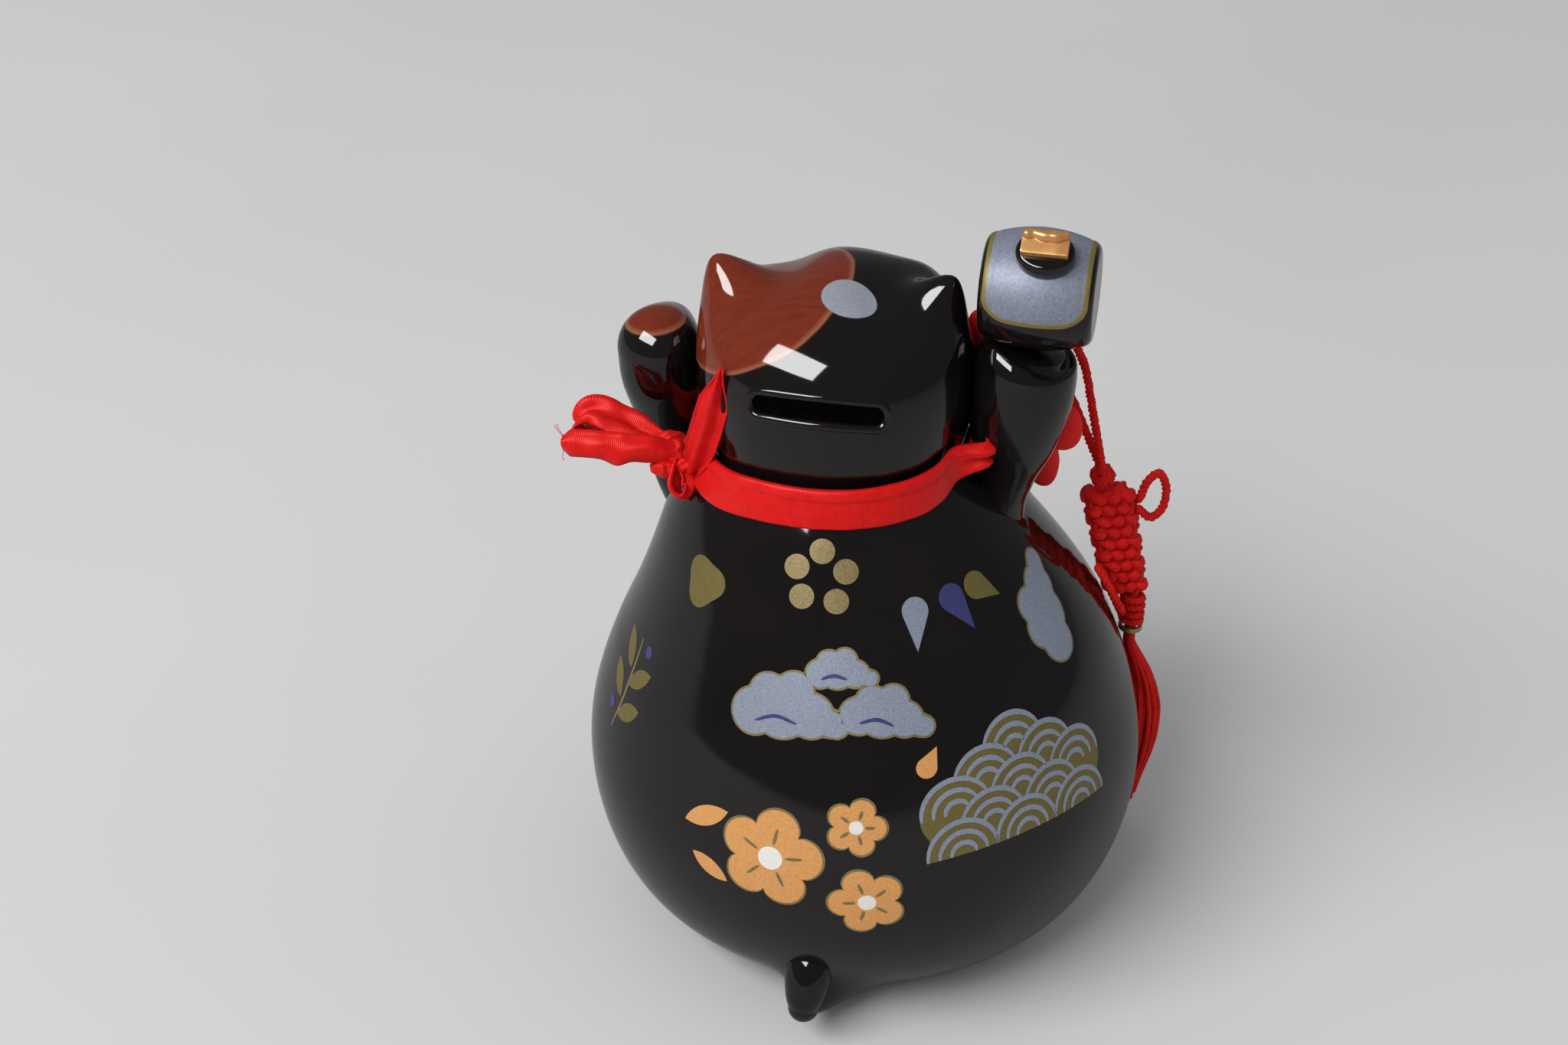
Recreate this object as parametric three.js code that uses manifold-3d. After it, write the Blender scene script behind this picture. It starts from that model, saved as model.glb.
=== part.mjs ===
// Lucky cat coin bank: a slip-cast, glazed figure with a raised paw, a mallet, a satin neck ribbon,
// a padded fabric bow and a knotted tassel. Coins go in at the back of the head and come out at the base.
// Millimetres, +Z up, face towards -Y, coin slot towards +Y. The body's axis is worked on as x = y = 0,
// and at the end the group is moved so that the figure's box stands centred on the origin.
import * as THREE from "three";
import { mergeVertices } from "three/addons/utils/BufferGeometryUtils.js";
import Module from "manifold-3d";

const wasm = await Module();
wasm.setup();

// Clearance left between pieces that touch.
const FIT_GAP = 0.3;

// Body casting.
const WALL = 4.5;
const FOOT_RADIUS = 46;
const FOOT_RING_WIDTH = 8;
const FOOT_RECESS = 4;
const BASE_THICKNESS = 5;
const HIP_RADIUS = 64;
const HIP_HEIGHT = 20;
const BELLY_RADIUS = 69.4;
const BELLY_HEIGHT = 47;
const FLANK_RADIUS = 62.5;
const FLANK_HEIGHT = 75;
const SHOULDER_RADIUS = 46.4;
const SHOULDER_DROP = 27;
const NECK_RADIUS = 30.5;
const NECK_HEIGHT = 134;
const LEAN_START = 80;

// Head, which sits a little towards the raised left paw.
const HEAD_OFFSET = 8.5;
const HEAD_RADIUS = 32.5;
const HEAD_DEPTH_RADIUS = 31;
const HEAD_WIDEST_HEIGHT = 153;
const HEAD_TOP = 177.5;
const HEAD_FULLNESS = 2.2;
const EAR_OFFSET = 1.5;
const EAR_SPACING = 52.6;
const EAR_TIP_HEIGHT = 177.8;
const EAR_TIP_RADIUS = 4.4;
const EAR_ROOT_RADIUS = 18;
const EAR_LENGTH = 26;
const EAR_FLATNESS = 0.66;
const EAR_HOLLOW = 1.15;
const EAR_SPLAY = 27;
const MUZZLE_RADIUS = 9;
const MUZZLE_FLATNESS = 0.75;
const MUZZLE_RISE = 0.95;
const MUZZLE_SINK = 2.5;
const MUZZLE_SPACING = 13;
const EAR_HOLLOW_WIDTH = 8;
const EAR_HOLLOW_HEIGHT = 9;
const EAR_HOLLOW_DEPTH = 7;
const EAR_HOLLOW_DROP = 7.5;
const EAR_HOLLOW_INSET = 2.5;

// Coin slot in the back of the head.
const SLOT_LENGTH = 31;
const SLOT_HEIGHT = 5.6;
const SLOT_CENTRE_HEIGHT = 158.5;
const SLOT_SHIFT = 1;

// Tail and front feet, cast in one with the body.
const TAIL_REACH = 75;
const TAIL_TIP_HEIGHT = 10.5;
const TAIL_ROOT_RADIUS = 20;
const TAIL_TIP_RADIUS = 3.4;
const TAIL_LENGTH = 32;
const TAIL_HOLLOW = 2.1;
const TAIL_DROOP = 40;
const FOOT_PAD_SPACING = 40;
const FOOT_PAD_LENGTH = 34;
const FOOT_PAD_WIDTH = 26;
const FOOT_PAD_HEIGHT = 19;
const FOOT_PAD_SINK = 1.5;
const FOOT_PAD_INSET = 4;

// How far both arms' roots are sunk into the shoulders, and how far forward of the axis they leave.
const ARM_SINK = 12;
const ARM_FORWARD = 4;

// Raised left arm.
const LEFT_ARM_RADIUS = 9.7;
const LEFT_ARM_ROOT_RADIUS = 8.2;
const LEFT_PAW_HEIGHT = 149.5;
const LEFT_ARM_GAP = 1.9;

// Right arm, which grips the mallet.
const RIGHT_ARM_RADIUS = 10.4;
const RIGHT_ARM_ROOT_RADIUS = 6.4;
const RIGHT_ARM_TOP = 162.5;
const RIGHT_ARM_GAP = 2.2;

// Mallet: a short barrel with a handle through it.
const BARREL_RADIUS = 13.8;
const BARREL_END_RADIUS = 12;
const BARREL_LENGTH = 25.6;
const BARREL_ROUNDING = 2;
const BARREL_SEAT = 1.6;
const BARREL_SHIFT = 1;
const BARREL_BACK = 0.5;
const HANDLE_TILT = 31;
const HANDLE_RADIUS = 3.4;
const HANDLE_STUB = 12;
const HANDLE_KNOB_RADIUS = 4.8;
const HANDLE_KNOB_HEIGHT = 2.5;
const HANDLE_ROUNDING = 1.2;
const BOSS_RADIUS = 6.7;
const BOSS_HEIGHT = 3.8;
const CAP_LENGTH = 10.8;
const CAP_WIDTH = 6.4;
const CAP_HEIGHT = 3.4;
const CAP_WAVE = 0.9;
const CAP_BACK = 0.5;

// Soft plug in the base.
const STOPPER_RADIUS = 19;
const STOPPER_TAPER = 1;
const STOPPER_DEPTH = 13;
const STOPPER_WALL = 2.4;
const STOPPER_FLANGE_RADIUS = 23;
const STOPPER_FLANGE = 2.2;
const STOPPER_TAB = 3;

// Satin ribbon, tied round the narrowest part of the neck.
const RIBBON_WIDTH = 10;
const BUNCHED_WIDTH = 7;
const RIBBON_THICKNESS = 0.8;
const COLLAR_STAND_OFF = 0.2;
const KNOT_RADIUS = 5.4;
const KNOT_DEPTH_RADIUS = 4.3;
const KNOT_BEARING = 22;
const KNOT_DROP = 2.2;

// Padded fabric bow in front of the right arm.
const PAD_THICKNESS = 6.4;
const PAD_WIDTH = 15;
const PAD_KNOT_RADIUS = 4.6;
const PAD_KNOT_SHARE = 0.7;
const PAD_TAIL_WIDTH = 12;
const PAD_TAIL_BEARING = 203;
const PAD_TAIL_DROP = 34;
const PAD_TAIL_REST = 2.2;

// Tassel: its upright plane through the body's axis, and its cords and knots.
const TASSEL_BEARING = 205;
const CORD_DIAMETER = 2.4;
const STRAND_SPACING = 2.9;
const PIVOT_RADIUS = 49.3;
const PIVOT_HEIGHT = 144.5;
const HANGER_LENGTH = 31.5;
const HANGER_SPREAD = 9.5;
const BUTTON_RADIUS = 3.4;
const BLOCK_WIDTH = 12.6;
const BLOCK_LENGTH = 31.5;
const BLOCK_THICKNESS = 7.6;
const BLOCK_ROWS = 6;
const BLOCK_COLUMNS = 3;
const WINDING_TURNS = 4;
const WINDING_CORD = 1.6;
const WINDING_PITCH = 2.25;
const CORE_RADIUS = 1.4;
const BAND_HEIGHT = 1.6;
const BAND_THICKNESS = 1.6;
const SKIRT_LENGTH = 60;
const SKIRT_WIDTH = 12;
const SKIRT_DEPTH = 10;
const SKIRT_FLUTES = 9;
const SKIRT_STAND_OFF = 0.8;
const SKIRT_TUCK = 3;

const vec = (x, y, z) => new THREE.Vector3(x, y, z);
const flat = (x, y) => new THREE.Vector2(x, y);
const { degToRad, lerp, smoothstep } = THREE.MathUtils;

// Solids: closed geometries in, joined or cut solids out.
function toSolid(geometry) {
  const bare = geometry.clone();
  bare.deleteAttribute("normal");
  bare.deleteAttribute("uv");
  const merged = mergeVertices(bare, 1e-4);
  return new wasm.Manifold(
    new wasm.Mesh({
      numProp: 3,
      vertProperties: new Float32Array(merged.attributes.position.array),
      triVerts: new Uint32Array(merged.index.array),
    }),
  );
}

function toGeometry(solid) {
  const mesh = solid.getMesh();
  const geometry = new THREE.BufferGeometry();
  geometry.setAttribute("position", new THREE.BufferAttribute(mesh.vertProperties, 3));
  geometry.setIndex(new THREE.BufferAttribute(mesh.triVerts, 1));
  geometry.computeVertexNormals();
  return geometry;
}

const join = (...solids) => solids.reduce((sum, solid) => sum.add(solid));

// A closed profile of [radius, height] points, starting and ending on the axis, turned about +Z.
function revolve(profile, segments) {
  const geometry = new THREE.LatheGeometry(profile, segments);
  geometry.rotateX(Math.PI / 2);
  return geometry;
}

function ellipsoid(centre, radii, across = 16, around = 10) {
  const geometry = new THREE.SphereGeometry(1, across, around);
  geometry.rotateX(Math.PI / 2);
  geometry.scale(radii.x, radii.y, radii.z);
  geometry.translate(centre.x, centre.y, centre.z);
  return geometry;
}

const ball = (centre, radius, across) => ellipsoid(centre, vec(radius, radius, radius), across, 10);

// A skin over rings of equal count: closed into a loop, or ended with fans.
function loft(rings, loop = false) {
  const sides = rings[0].length;
  const points = rings.flat();
  const faces = [];
  const spans = loop ? rings.length : rings.length - 1;
  for (let i = 0; i < spans; i++) {
    const a = i * sides;
    const b = ((i + 1) % rings.length) * sides;
    for (let j = 0; j < sides; j++) {
      const k = (j + 1) % sides;
      faces.push(a + j, a + k, b + j, a + k, b + k, b + j);
    }
  }
  if (!loop) {
    const centre = (ring) => ring.reduce((sum, p) => sum.add(p), vec(0, 0, 0)).divideScalar(sides);
    const last = (rings.length - 1) * sides;
    const first = points.push(centre(rings[0])) - 1;
    const end = points.push(centre(rings[rings.length - 1])) - 1;
    for (let j = 0; j < sides; j++) {
      const k = (j + 1) % sides;
      faces.push(first, k, j, end, last + j, last + k);
    }
  }
  const geometry = new THREE.BufferGeometry().setFromPoints(points);
  geometry.setIndex(signedVolume(points, faces) < 0 ? faces.reverse() : faces);
  geometry.computeVertexNormals();
  return geometry;
}

function signedVolume(points, faces) {
  let sum = 0;
  for (let i = 0; i < faces.length; i += 3) {
    const cross = points[faces[i + 1]].clone().cross(points[faces[i + 2]]);
    sum += points[faces[i]].dot(cross);
  }
  return sum;
}

// Rings along a curve, in planes square to it. section(t) gives the ring's points as [across, along side].
function ringsAlong(curve, steps, section, side = vec(0, 1, 0)) {
  const rings = [];
  for (let i = 0; i <= steps; i++) {
    const t = i / steps;
    const centre = curve.getPoint(t);
    const tangent = curve.getTangent(t);
    const v = side.clone().addScaledVector(tangent, -side.dot(tangent)).normalize();
    const u = v.clone().cross(tangent);
    rings.push(section(t).map((p) => centre.clone().addScaledVector(u, p.x).addScaledVector(v, p.y)));
  }
  return rings;
}

function oval(radiusX, radiusY, sides) {
  return Array.from({ length: sides }, (_, i) => {
    const turn = (2 * Math.PI * i) / sides;
    return flat(radiusX * Math.cos(turn), radiusY * Math.sin(turn));
  });
}

// A round limb whose radius follows the given values, evenly spaced along its curve.
function limb(points, radii, sides = 18, steps = 14) {
  const curve = new THREE.CatmullRomCurve3(points);
  const widths = new THREE.SplineCurve(radii.map((r, i) => flat(i, r)));
  return loft(ringsAlong(curve, steps, (t) => oval(widths.getPoint(t).y, widths.getPoint(t).y, sides)));
}

// A cord of one thickness along smooth points.
function cord(points, diameter, steps, sides = 8) {
  const curve = new THREE.CatmullRomCurve3(points);
  const round = new THREE.Shape(oval(diameter / 2, diameter / 2, sides));
  return new THREE.ExtrudeGeometry(round, { steps, bevelEnabled: false, extrudePath: curve });
}

const materials = {
  black_glaze: { color: 0x0b0908, roughness: 0.08, metalness: 0 },
  silver_lustre: { color: 0x96a0b4, roughness: 0.35, metalness: 0.3 },
  gilt: { color: 0xc89650, roughness: 0.2, metalness: 0.9 },
  soft_plug: { color: 0xd8d4cc, roughness: 0.7, metalness: 0 },
  satin_ribbon: { color: 0xd21419, roughness: 0.4, metalness: 0 },
  padded_fabric: { color: 0xb91416, roughness: 0.9, metalness: 0 },
  red_cord: { color: 0xb41914, roughness: 0.8, metalness: 0 },
  metal_thread: { color: 0xb8a070, roughness: 0.35, metalness: 0.8 },
};

function piece(name, geometry, finish) {
  const mesh = new THREE.Mesh(geometry, new THREE.MeshStandardMaterial(materials[finish]));
  mesh.name = name;
  return mesh;
}

// Body and head outlines. The shoulders lie a set drop below the neck.
const shoulderHeight = NECK_HEIGHT - SHOULDER_DROP;
const bodyOutline = new THREE.SplineCurve([
  flat(FOOT_RADIUS, 0),
  flat(HIP_RADIUS, HIP_HEIGHT),
  flat(BELLY_RADIUS, BELLY_HEIGHT),
  flat(FLANK_RADIUS, FLANK_HEIGHT),
  flat(SHOULDER_RADIUS, shoulderHeight),
  flat(NECK_RADIUS, NECK_HEIGHT),
]);

function headRadius(height) {
  const rise = height - HEAD_WIDEST_HEIGHT;
  if (rise > 0) {
    const share = rise / (HEAD_TOP - HEAD_WIDEST_HEIGHT);
    return HEAD_RADIUS * Math.sqrt(Math.max(0, 1 - share ** HEAD_FULLNESS));
  }
  const drop = rise / (HEAD_WIDEST_HEIGHT - NECK_HEIGHT);
  return lerp(HEAD_RADIUS, NECK_RADIUS, drop * drop);
}

function bodyRadius(height) {
  let low = 0;
  let high = 1;
  while (high - low > 1e-4) {
    const middle = (low + high) / 2;
    if (bodyOutline.getPoint(middle).y < height) low = middle;
    else high = middle;
  }
  return bodyOutline.getPoint(low).x;
}

const skinRadius = (height) => (height < NECK_HEIGHT ? bodyRadius(height) : headRadius(height));

const lean = (height) => HEAD_OFFSET * smoothstep(height, LEAN_START, NECK_HEIGHT);

function leaned(geometry) {
  const place = geometry.attributes.position;
  for (let i = 0; i < place.count; i++) place.setX(i, place.getX(i) + lean(place.getZ(i)));
  return geometry;
}

// The figure's trunk, grown outwards or, with a negative grow, shrunk to its hollow.
function trunk(grow, floor, segments, steps) {
  const outline = bodyOutline.getPoints(steps).filter((p) => p.y > floor);
  const start = flat(bodyRadius(floor) + grow, floor);
  const rows = [start, ...outline.map((p) => flat(p.x + grow, p.y))];
  const top = rows[rows.length - 1].y;
  return toSolid(leaned(revolve([flat(0, floor), ...rows, flat(0, top)], segments)));
}

function headDome(grow, segments, steps) {
  const bottom = NECK_HEIGHT - 2;
  const top = HEAD_TOP + grow;
  const rows = Array.from({ length: steps }, (_, i) => {
    const turn = (i / steps) * (Math.PI / 2);
    const height = lerp(bottom, top, Math.sin(turn));
    return flat(headRadius(height - grow) + grow, height);
  });
  const dome = revolve([flat(0, bottom), ...rows, flat(0, top)], segments);
  dome.scale(1, HEAD_DEPTH_RADIUS / HEAD_RADIUS, 1);
  dome.translate(HEAD_OFFSET, 0, 0);
  return toSolid(dome);
}

// A cone with hollow flanks and a round tip, along +Z from its root at z = 0.
function hollowCone(rootRadius, tipRadius, length, hollow, segments) {
  const rows = [];
  const steps = 7;
  for (let i = 0; i <= steps; i++) {
    const t = i / steps;
    rows.push(flat(lerp(rootRadius, tipRadius, 1 - (1 - t) ** hollow), t * (length - tipRadius)));
  }
  const shoulder = length - tipRadius;
  const cap = [30, 60].map((turn) => {
    const angle = degToRad(turn);
    return flat(tipRadius * Math.cos(angle), shoulder + tipRadius * Math.sin(angle));
  });
  return revolve([flat(0, 0), ...rows, ...cap, flat(0, length)], segments);
}

function ear(side, grow) {
  const cone = hollowCone(EAR_ROOT_RADIUS + grow, EAR_TIP_RADIUS + grow, EAR_LENGTH + grow, EAR_HOLLOW, 16);
  cone.scale(1, EAR_FLATNESS, 1);
  cone.translate(0, 0, -EAR_LENGTH);
  cone.rotateY(degToRad(side * EAR_SPLAY));
  cone.translate(HEAD_OFFSET + EAR_OFFSET + (side * EAR_SPACING) / 2, 0, EAR_TIP_HEIGHT);
  return toSolid(cone);
}

function earHollow(side) {
  const reach = HEAD_OFFSET + EAR_OFFSET + side * (EAR_SPACING / 2 - EAR_HOLLOW_INSET);
  const depth = (EAR_ROOT_RADIUS * EAR_FLATNESS) / 2;
  const radii = vec(EAR_HOLLOW_WIDTH / 2, EAR_HOLLOW_DEPTH / 2, EAR_HOLLOW_HEIGHT / 2);
  return toSolid(ellipsoid(vec(reach, -depth, EAR_TIP_HEIGHT - EAR_HOLLOW_DROP), radii, 12, 8));
}

function tail() {
  const cone = hollowCone(TAIL_ROOT_RADIUS, TAIL_TIP_RADIUS, TAIL_LENGTH, TAIL_HOLLOW, 16);
  cone.translate(0, 0, -TAIL_LENGTH);
  cone.rotateX(degToRad(-90 - TAIL_DROOP));
  cone.translate(0, TAIL_REACH - TAIL_TIP_RADIUS, TAIL_TIP_HEIGHT);
  return toSolid(cone);
}

function footPad(side) {
  const reach = bodyRadius(FOOT_PAD_HEIGHT / 2) - FOOT_PAD_INSET;
  const radii = vec(FOOT_PAD_WIDTH / 2, FOOT_PAD_LENGTH / 2, FOOT_PAD_HEIGHT / 2);
  const centre = vec((side * FOOT_PAD_SPACING) / 2, -reach, FOOT_PAD_HEIGHT / 2 - FOOT_PAD_SINK);
  return toSolid(ellipsoid(centre, radii, 16, 8));
}

// The cheeks of the muzzle stand just above the ribbon.
function muzzle(side) {
  const radii = vec(MUZZLE_RADIUS, MUZZLE_RADIUS * MUZZLE_FLATNESS, MUZZLE_RADIUS * MUZZLE_FLATNESS);
  const height = NECK_HEIGHT + RIBBON_WIDTH / 2 + FIT_GAP + radii.z + MUZZLE_RISE;
  const centre = vec(HEAD_OFFSET + (side * MUZZLE_SPACING) / 2, MUZZLE_SINK - HEAD_DEPTH_RADIUS, height);
  return toSolid(ellipsoid(centre, radii, 12, 8));
}

// The figure's outside, used whole to cut what is luted or tied to it.
function figureOutside(grow) {
  return join(trunk(grow, 0, 44, 18), headDome(grow, 36, 12), ear(1, grow), ear(-1, grow));
}

function slotCutter() {
  const half = SLOT_LENGTH / 2 - SLOT_HEIGHT / 2;
  const outline = new THREE.Shape();
  outline.absarc(half, 0, SLOT_HEIGHT / 2, -Math.PI / 2, Math.PI / 2);
  outline.absarc(-half, 0, SLOT_HEIGHT / 2, Math.PI / 2, (3 * Math.PI) / 2);
  const run = { depth: HEAD_DEPTH_RADIUS, bevelEnabled: false, curveSegments: 8 };
  const bar = new THREE.ExtrudeGeometry(outline, run);
  bar.rotateX(-Math.PI / 2);
  bar.translate(HEAD_OFFSET - SLOT_SHIFT, HEAD_DEPTH_RADIUS / 2, SLOT_CENTRE_HEIGHT);
  return toSolid(bar);
}

const baseTop = FOOT_RECESS + BASE_THICKNESS;

function bodyCasting() {
  const outside = join(figureOutside(0), tail(), footPad(1), footPad(-1), muzzle(1), muzzle(-1));
  const below = new THREE.BoxGeometry(4 * BELLY_RADIUS, 4 * BELLY_RADIUS, HIP_HEIGHT);
  below.translate(0, 0, -HIP_HEIGHT / 2);
  const hollow = join(trunk(-WALL, baseTop, 24, 9), headDome(-WALL, 20, 7));
  const recessRadius = FOOT_RADIUS - FOOT_RING_WIDTH;
  const recess = revolve(
    [flat(0, -1), flat(recessRadius, -1), flat(recessRadius, FOOT_RECESS), flat(0, FOOT_RECESS)],
    40,
  );
  const hole = revolve(
    [flat(0, -1), flat(STOPPER_RADIUS, -1), flat(STOPPER_RADIUS, baseTop + 1), flat(0, baseTop + 1)],
    32,
  );
  const base = [toSolid(below), toSolid(recess), toSolid(hole)];
  const cutters = [...base, hollow, slotCutter(), earHollow(1), earHollow(-1)];
  return cutters.reduce((solid, cutter) => solid.subtract(cutter), outside);
}

// Arms, each cut to seat on the body. Both rise clear of the head and of the ribbon round the neck.
const seat = figureOutside(FIT_GAP);
const collarLayer = FIT_GAP + COLLAR_STAND_OFF + RIBBON_THICKNESS;
const headSide = Math.max(HEAD_RADIUS, NECK_RADIUS + collarLayer);
const leftPawReach = headSide + HEAD_OFFSET + LEFT_ARM_RADIUS + LEFT_ARM_GAP;
const rightArmReach = headSide - HEAD_OFFSET + RIGHT_ARM_RADIUS + RIGHT_ARM_GAP;

function leftArm() {
  const wrist = vec(leftPawReach, -2, LEFT_PAW_HEIGHT);
  const shoulder = vec(lean(shoulderHeight) + SHOULDER_RADIUS - ARM_SINK, -ARM_FORWARD, shoulderHeight);
  const elbow = vec(leftPawReach - 2.6, -6, lerp(shoulderHeight, LEFT_PAW_HEIGHT, 0.36));
  const fore = vec(leftPawReach - 0.8, -4.5, lerp(shoulderHeight, LEFT_PAW_HEIGHT, 0.7));
  const sleeve = limb(
    [shoulder, elbow, fore, wrist],
    [LEFT_ARM_ROOT_RADIUS, LEFT_ARM_ROOT_RADIUS, LEFT_ARM_RADIUS - 0.4, LEFT_ARM_RADIUS],
  );
  const paw = ball(wrist, LEFT_ARM_RADIUS, 18);
  const toes = ellipsoid(
    vec(wrist.x, wrist.y - LEFT_ARM_RADIUS * 0.7, wrist.z - 0.5),
    vec(LEFT_ARM_RADIUS * 0.95, LEFT_ARM_RADIUS, LEFT_ARM_RADIUS * 0.8),
    18,
    10,
  );
  return join(toSolid(sleeve), toSolid(paw), toSolid(toes)).subtract(seat);
}

const barrelHeight = RIGHT_ARM_TOP + BARREL_SEAT + BARREL_RADIUS;
const barrelCentre = vec(-rightArmReach - BARREL_SHIFT, BARREL_BACK, barrelHeight);

// Turns a shape made along +Z into the handle's direction, its origin at the barrel's centre.
function alongHandle(geometry) {
  geometry.rotateX(degToRad(-HANDLE_TILT));
  geometry.translate(barrelCentre.x, barrelCentre.y, barrelCentre.z);
  return geometry;
}

function handle(grow) {
  const radius = HANDLE_RADIUS + grow;
  const seatHeight = BARREL_RADIUS + FIT_GAP - grow;
  const lowEnd = -BARREL_RADIUS - HANDLE_STUB;
  const knob = HANDLE_KNOB_RADIUS + grow;
  const knobTop = lowEnd + HANDLE_KNOB_HEIGHT + grow;
  const bossTop = seatHeight + BOSS_HEIGHT;
  const profile = [
    flat(0, lowEnd - grow),
    flat(knob - HANDLE_ROUNDING, lowEnd - grow),
    flat(knob, lowEnd + HANDLE_ROUNDING),
    flat(knob, knobTop),
    flat(radius, knobTop + HANDLE_ROUNDING),
    flat(radius, seatHeight),
    flat(BOSS_RADIUS + grow, seatHeight),
    flat(BOSS_RADIUS + grow, bossTop - HANDLE_ROUNDING),
    flat(BOSS_RADIUS - HANDLE_ROUNDING + grow, bossTop + grow),
    flat(0, bossTop + grow),
  ];
  return toSolid(alongHandle(revolve(profile, 24)));
}

function rightArm() {
  const foot = vec(lean(shoulderHeight) - SHOULDER_RADIUS + ARM_SINK, -ARM_FORWARD, shoulderHeight);
  const rise = (share) => lerp(shoulderHeight, RIGHT_ARM_TOP, share);
  const points = [
    foot,
    vec(3 - rightArmReach, -2, rise(0.35)),
    vec(1.6 - rightArmReach, -1, rise(0.56)),
    vec(0.4 - rightArmReach, 0, rise(0.78)),
    vec(-rightArmReach, 0.3, rise(0.95)),
    vec(-rightArmReach, 0.3, RIGHT_ARM_TOP),
  ];
  const radii = [
    RIGHT_ARM_ROOT_RADIUS,
    RIGHT_ARM_ROOT_RADIUS,
    RIGHT_ARM_RADIUS - 1.6,
    RIGHT_ARM_RADIUS,
    RIGHT_ARM_RADIUS - 0.8,
    RIGHT_ARM_RADIUS - 3.2,
  ];
  return toSolid(limb(points, radii, 20, 16)).subtract(seat).subtract(handle(FIT_GAP));
}

function barrel() {
  const half = BARREL_LENGTH / 2;
  const rows = [-1, -0.5, 0, 0.5, 1].map((share) => {
    const radius = lerp(BARREL_RADIUS, BARREL_END_RADIUS, share * share);
    return flat(radius, share * (half - BARREL_ROUNDING));
  });
  const profile = [
    flat(0, -half),
    flat(BARREL_END_RADIUS - BARREL_ROUNDING, -half),
    ...rows,
    flat(BARREL_END_RADIUS - BARREL_ROUNDING, half),
    flat(0, half),
  ];
  const drum = revolve(profile, 36);
  drum.rotateY(Math.PI / 2);
  drum.translate(barrelCentre.x, barrelCentre.y, barrelCentre.z);
  return toSolid(drum).subtract(handle(FIT_GAP));
}

function gildedCap() {
  const outline = new THREE.Shape();
  const half = CAP_LENGTH / 2;
  outline.moveTo(-half, 0);
  outline.lineTo(half, 0);
  outline.lineTo(half, CAP_HEIGHT);
  outline.splineThru([
    flat(half * 0.45, CAP_HEIGHT - CAP_WAVE),
    flat(0, CAP_HEIGHT),
    flat(-half * 0.5, CAP_HEIGHT - CAP_WAVE),
    flat(-half, CAP_HEIGHT),
  ]);
  const run = { depth: CAP_WIDTH, bevelEnabled: false, curveSegments: 10 };
  const cap = new THREE.ExtrudeGeometry(outline, run);
  cap.rotateX(Math.PI / 2);
  cap.translate(0, CAP_WIDTH / 2 + CAP_BACK, BARREL_RADIUS + BOSS_HEIGHT + 2 * FIT_GAP);
  return alongHandle(cap);
}

// Stopper: a tapered cup with a flange that lies in the foot's recess and a tab to pull it by.
function stopper() {
  const underside = FOOT_RECESS - FIT_GAP - STOPPER_FLANGE;
  const shoulder = FOOT_RECESS - FIT_GAP;
  const rim = STOPPER_RADIUS - FIT_GAP;
  const top = shoulder + STOPPER_DEPTH;
  const bore = rim - STOPPER_WALL;
  const cup = revolve(
    [
      flat(0, top - STOPPER_WALL),
      flat(bore - STOPPER_TAPER, top - STOPPER_WALL),
      flat(bore, underside),
      flat(STOPPER_FLANGE_RADIUS, underside),
      flat(STOPPER_FLANGE_RADIUS, shoulder),
      flat(rim, shoulder),
      flat(rim - STOPPER_TAPER, top),
      flat(0, top),
    ],
    32,
  );
  const tab = new THREE.BoxGeometry(2 * bore, STOPPER_TAB, STOPPER_DEPTH / 2);
  tab.translate(0, 0, underside + STOPPER_DEPTH / 4 + 0.5);
  const within = revolve(
    [flat(0, underside), flat(bore + 0.5, underside), flat(bore + 0.5, top - 1), flat(0, top - 1)],
    32,
  );
  return join(toSolid(cup), toSolid(tab).intersect(toSolid(within)));
}

// Ribbon: the collar lies on the neck, and the bow is tied at the back of the left shoulder.
const strip = (width, thickness) => [
  flat(thickness / 2, width / 2),
  flat(-thickness / 2, width / 2),
  flat(-thickness / 2, -width / 2),
  flat(thickness / 2, -width / 2),
];

function collar() {
  const rings = [];
  const steps = 40;
  const half = RIBBON_WIDTH / 2;
  for (let i = 0; i < steps; i++) {
    const turn = (2 * Math.PI * i) / steps;
    const corner = (height, out) => {
      const radius = skinRadius(height) + FIT_GAP + COLLAR_STAND_OFF + out;
      return vec(lean(height) + radius * Math.cos(turn), radius * Math.sin(turn), height);
    };
    const heights = [NECK_HEIGHT - half, NECK_HEIGHT, NECK_HEIGHT + half];
    const inside = heights.map((height) => corner(height, 0));
    const outside = heights.map((height) => corner(height, RIBBON_THICKNESS)).reverse();
    rings.push([...inside, ...outside]);
  }
  return loft(rings, true);
}

// A flat ribbon along smooth points, lying square to the given side.
function ribbon(points, side, width) {
  const curve = new THREE.CatmullRomCurve3(points);
  return loft(ringsAlong(curve, 16, (t) => strip(width * ribbonWaist(t), RIBBON_THICKNESS), side));
}

// Ribbon is gathered to about half its width where the knot grips it.
const ribbonWaist = (t) => lerp(0.5, 1, smoothstep(t, 0, 0.3));

// How far from its axis a ball at some height clears the figure and a layer that lies on it.
function ballReach(height, radius, layer) {
  const steps = 24;
  const reaches = Array.from({ length: steps + 1 }, (_, i) => {
    const rise = lerp(-radius, radius, i / steps);
    return skinRadius(height + rise) + Math.sqrt(radius * radius - rise * rise);
  });
  return Math.max(...reaches) + layer + FIT_GAP;
}

const around = (reach, bearing) => vec(reach, 0, 0).applyAxisAngle(vec(0, 0, 1), degToRad(bearing));
const knotHeight = NECK_HEIGHT - KNOT_DROP;
const knotCentre = around(ballReach(knotHeight, KNOT_RADIUS, collarLayer), KNOT_BEARING).add(
  vec(HEAD_OFFSET, 0, knotHeight),
);

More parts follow.
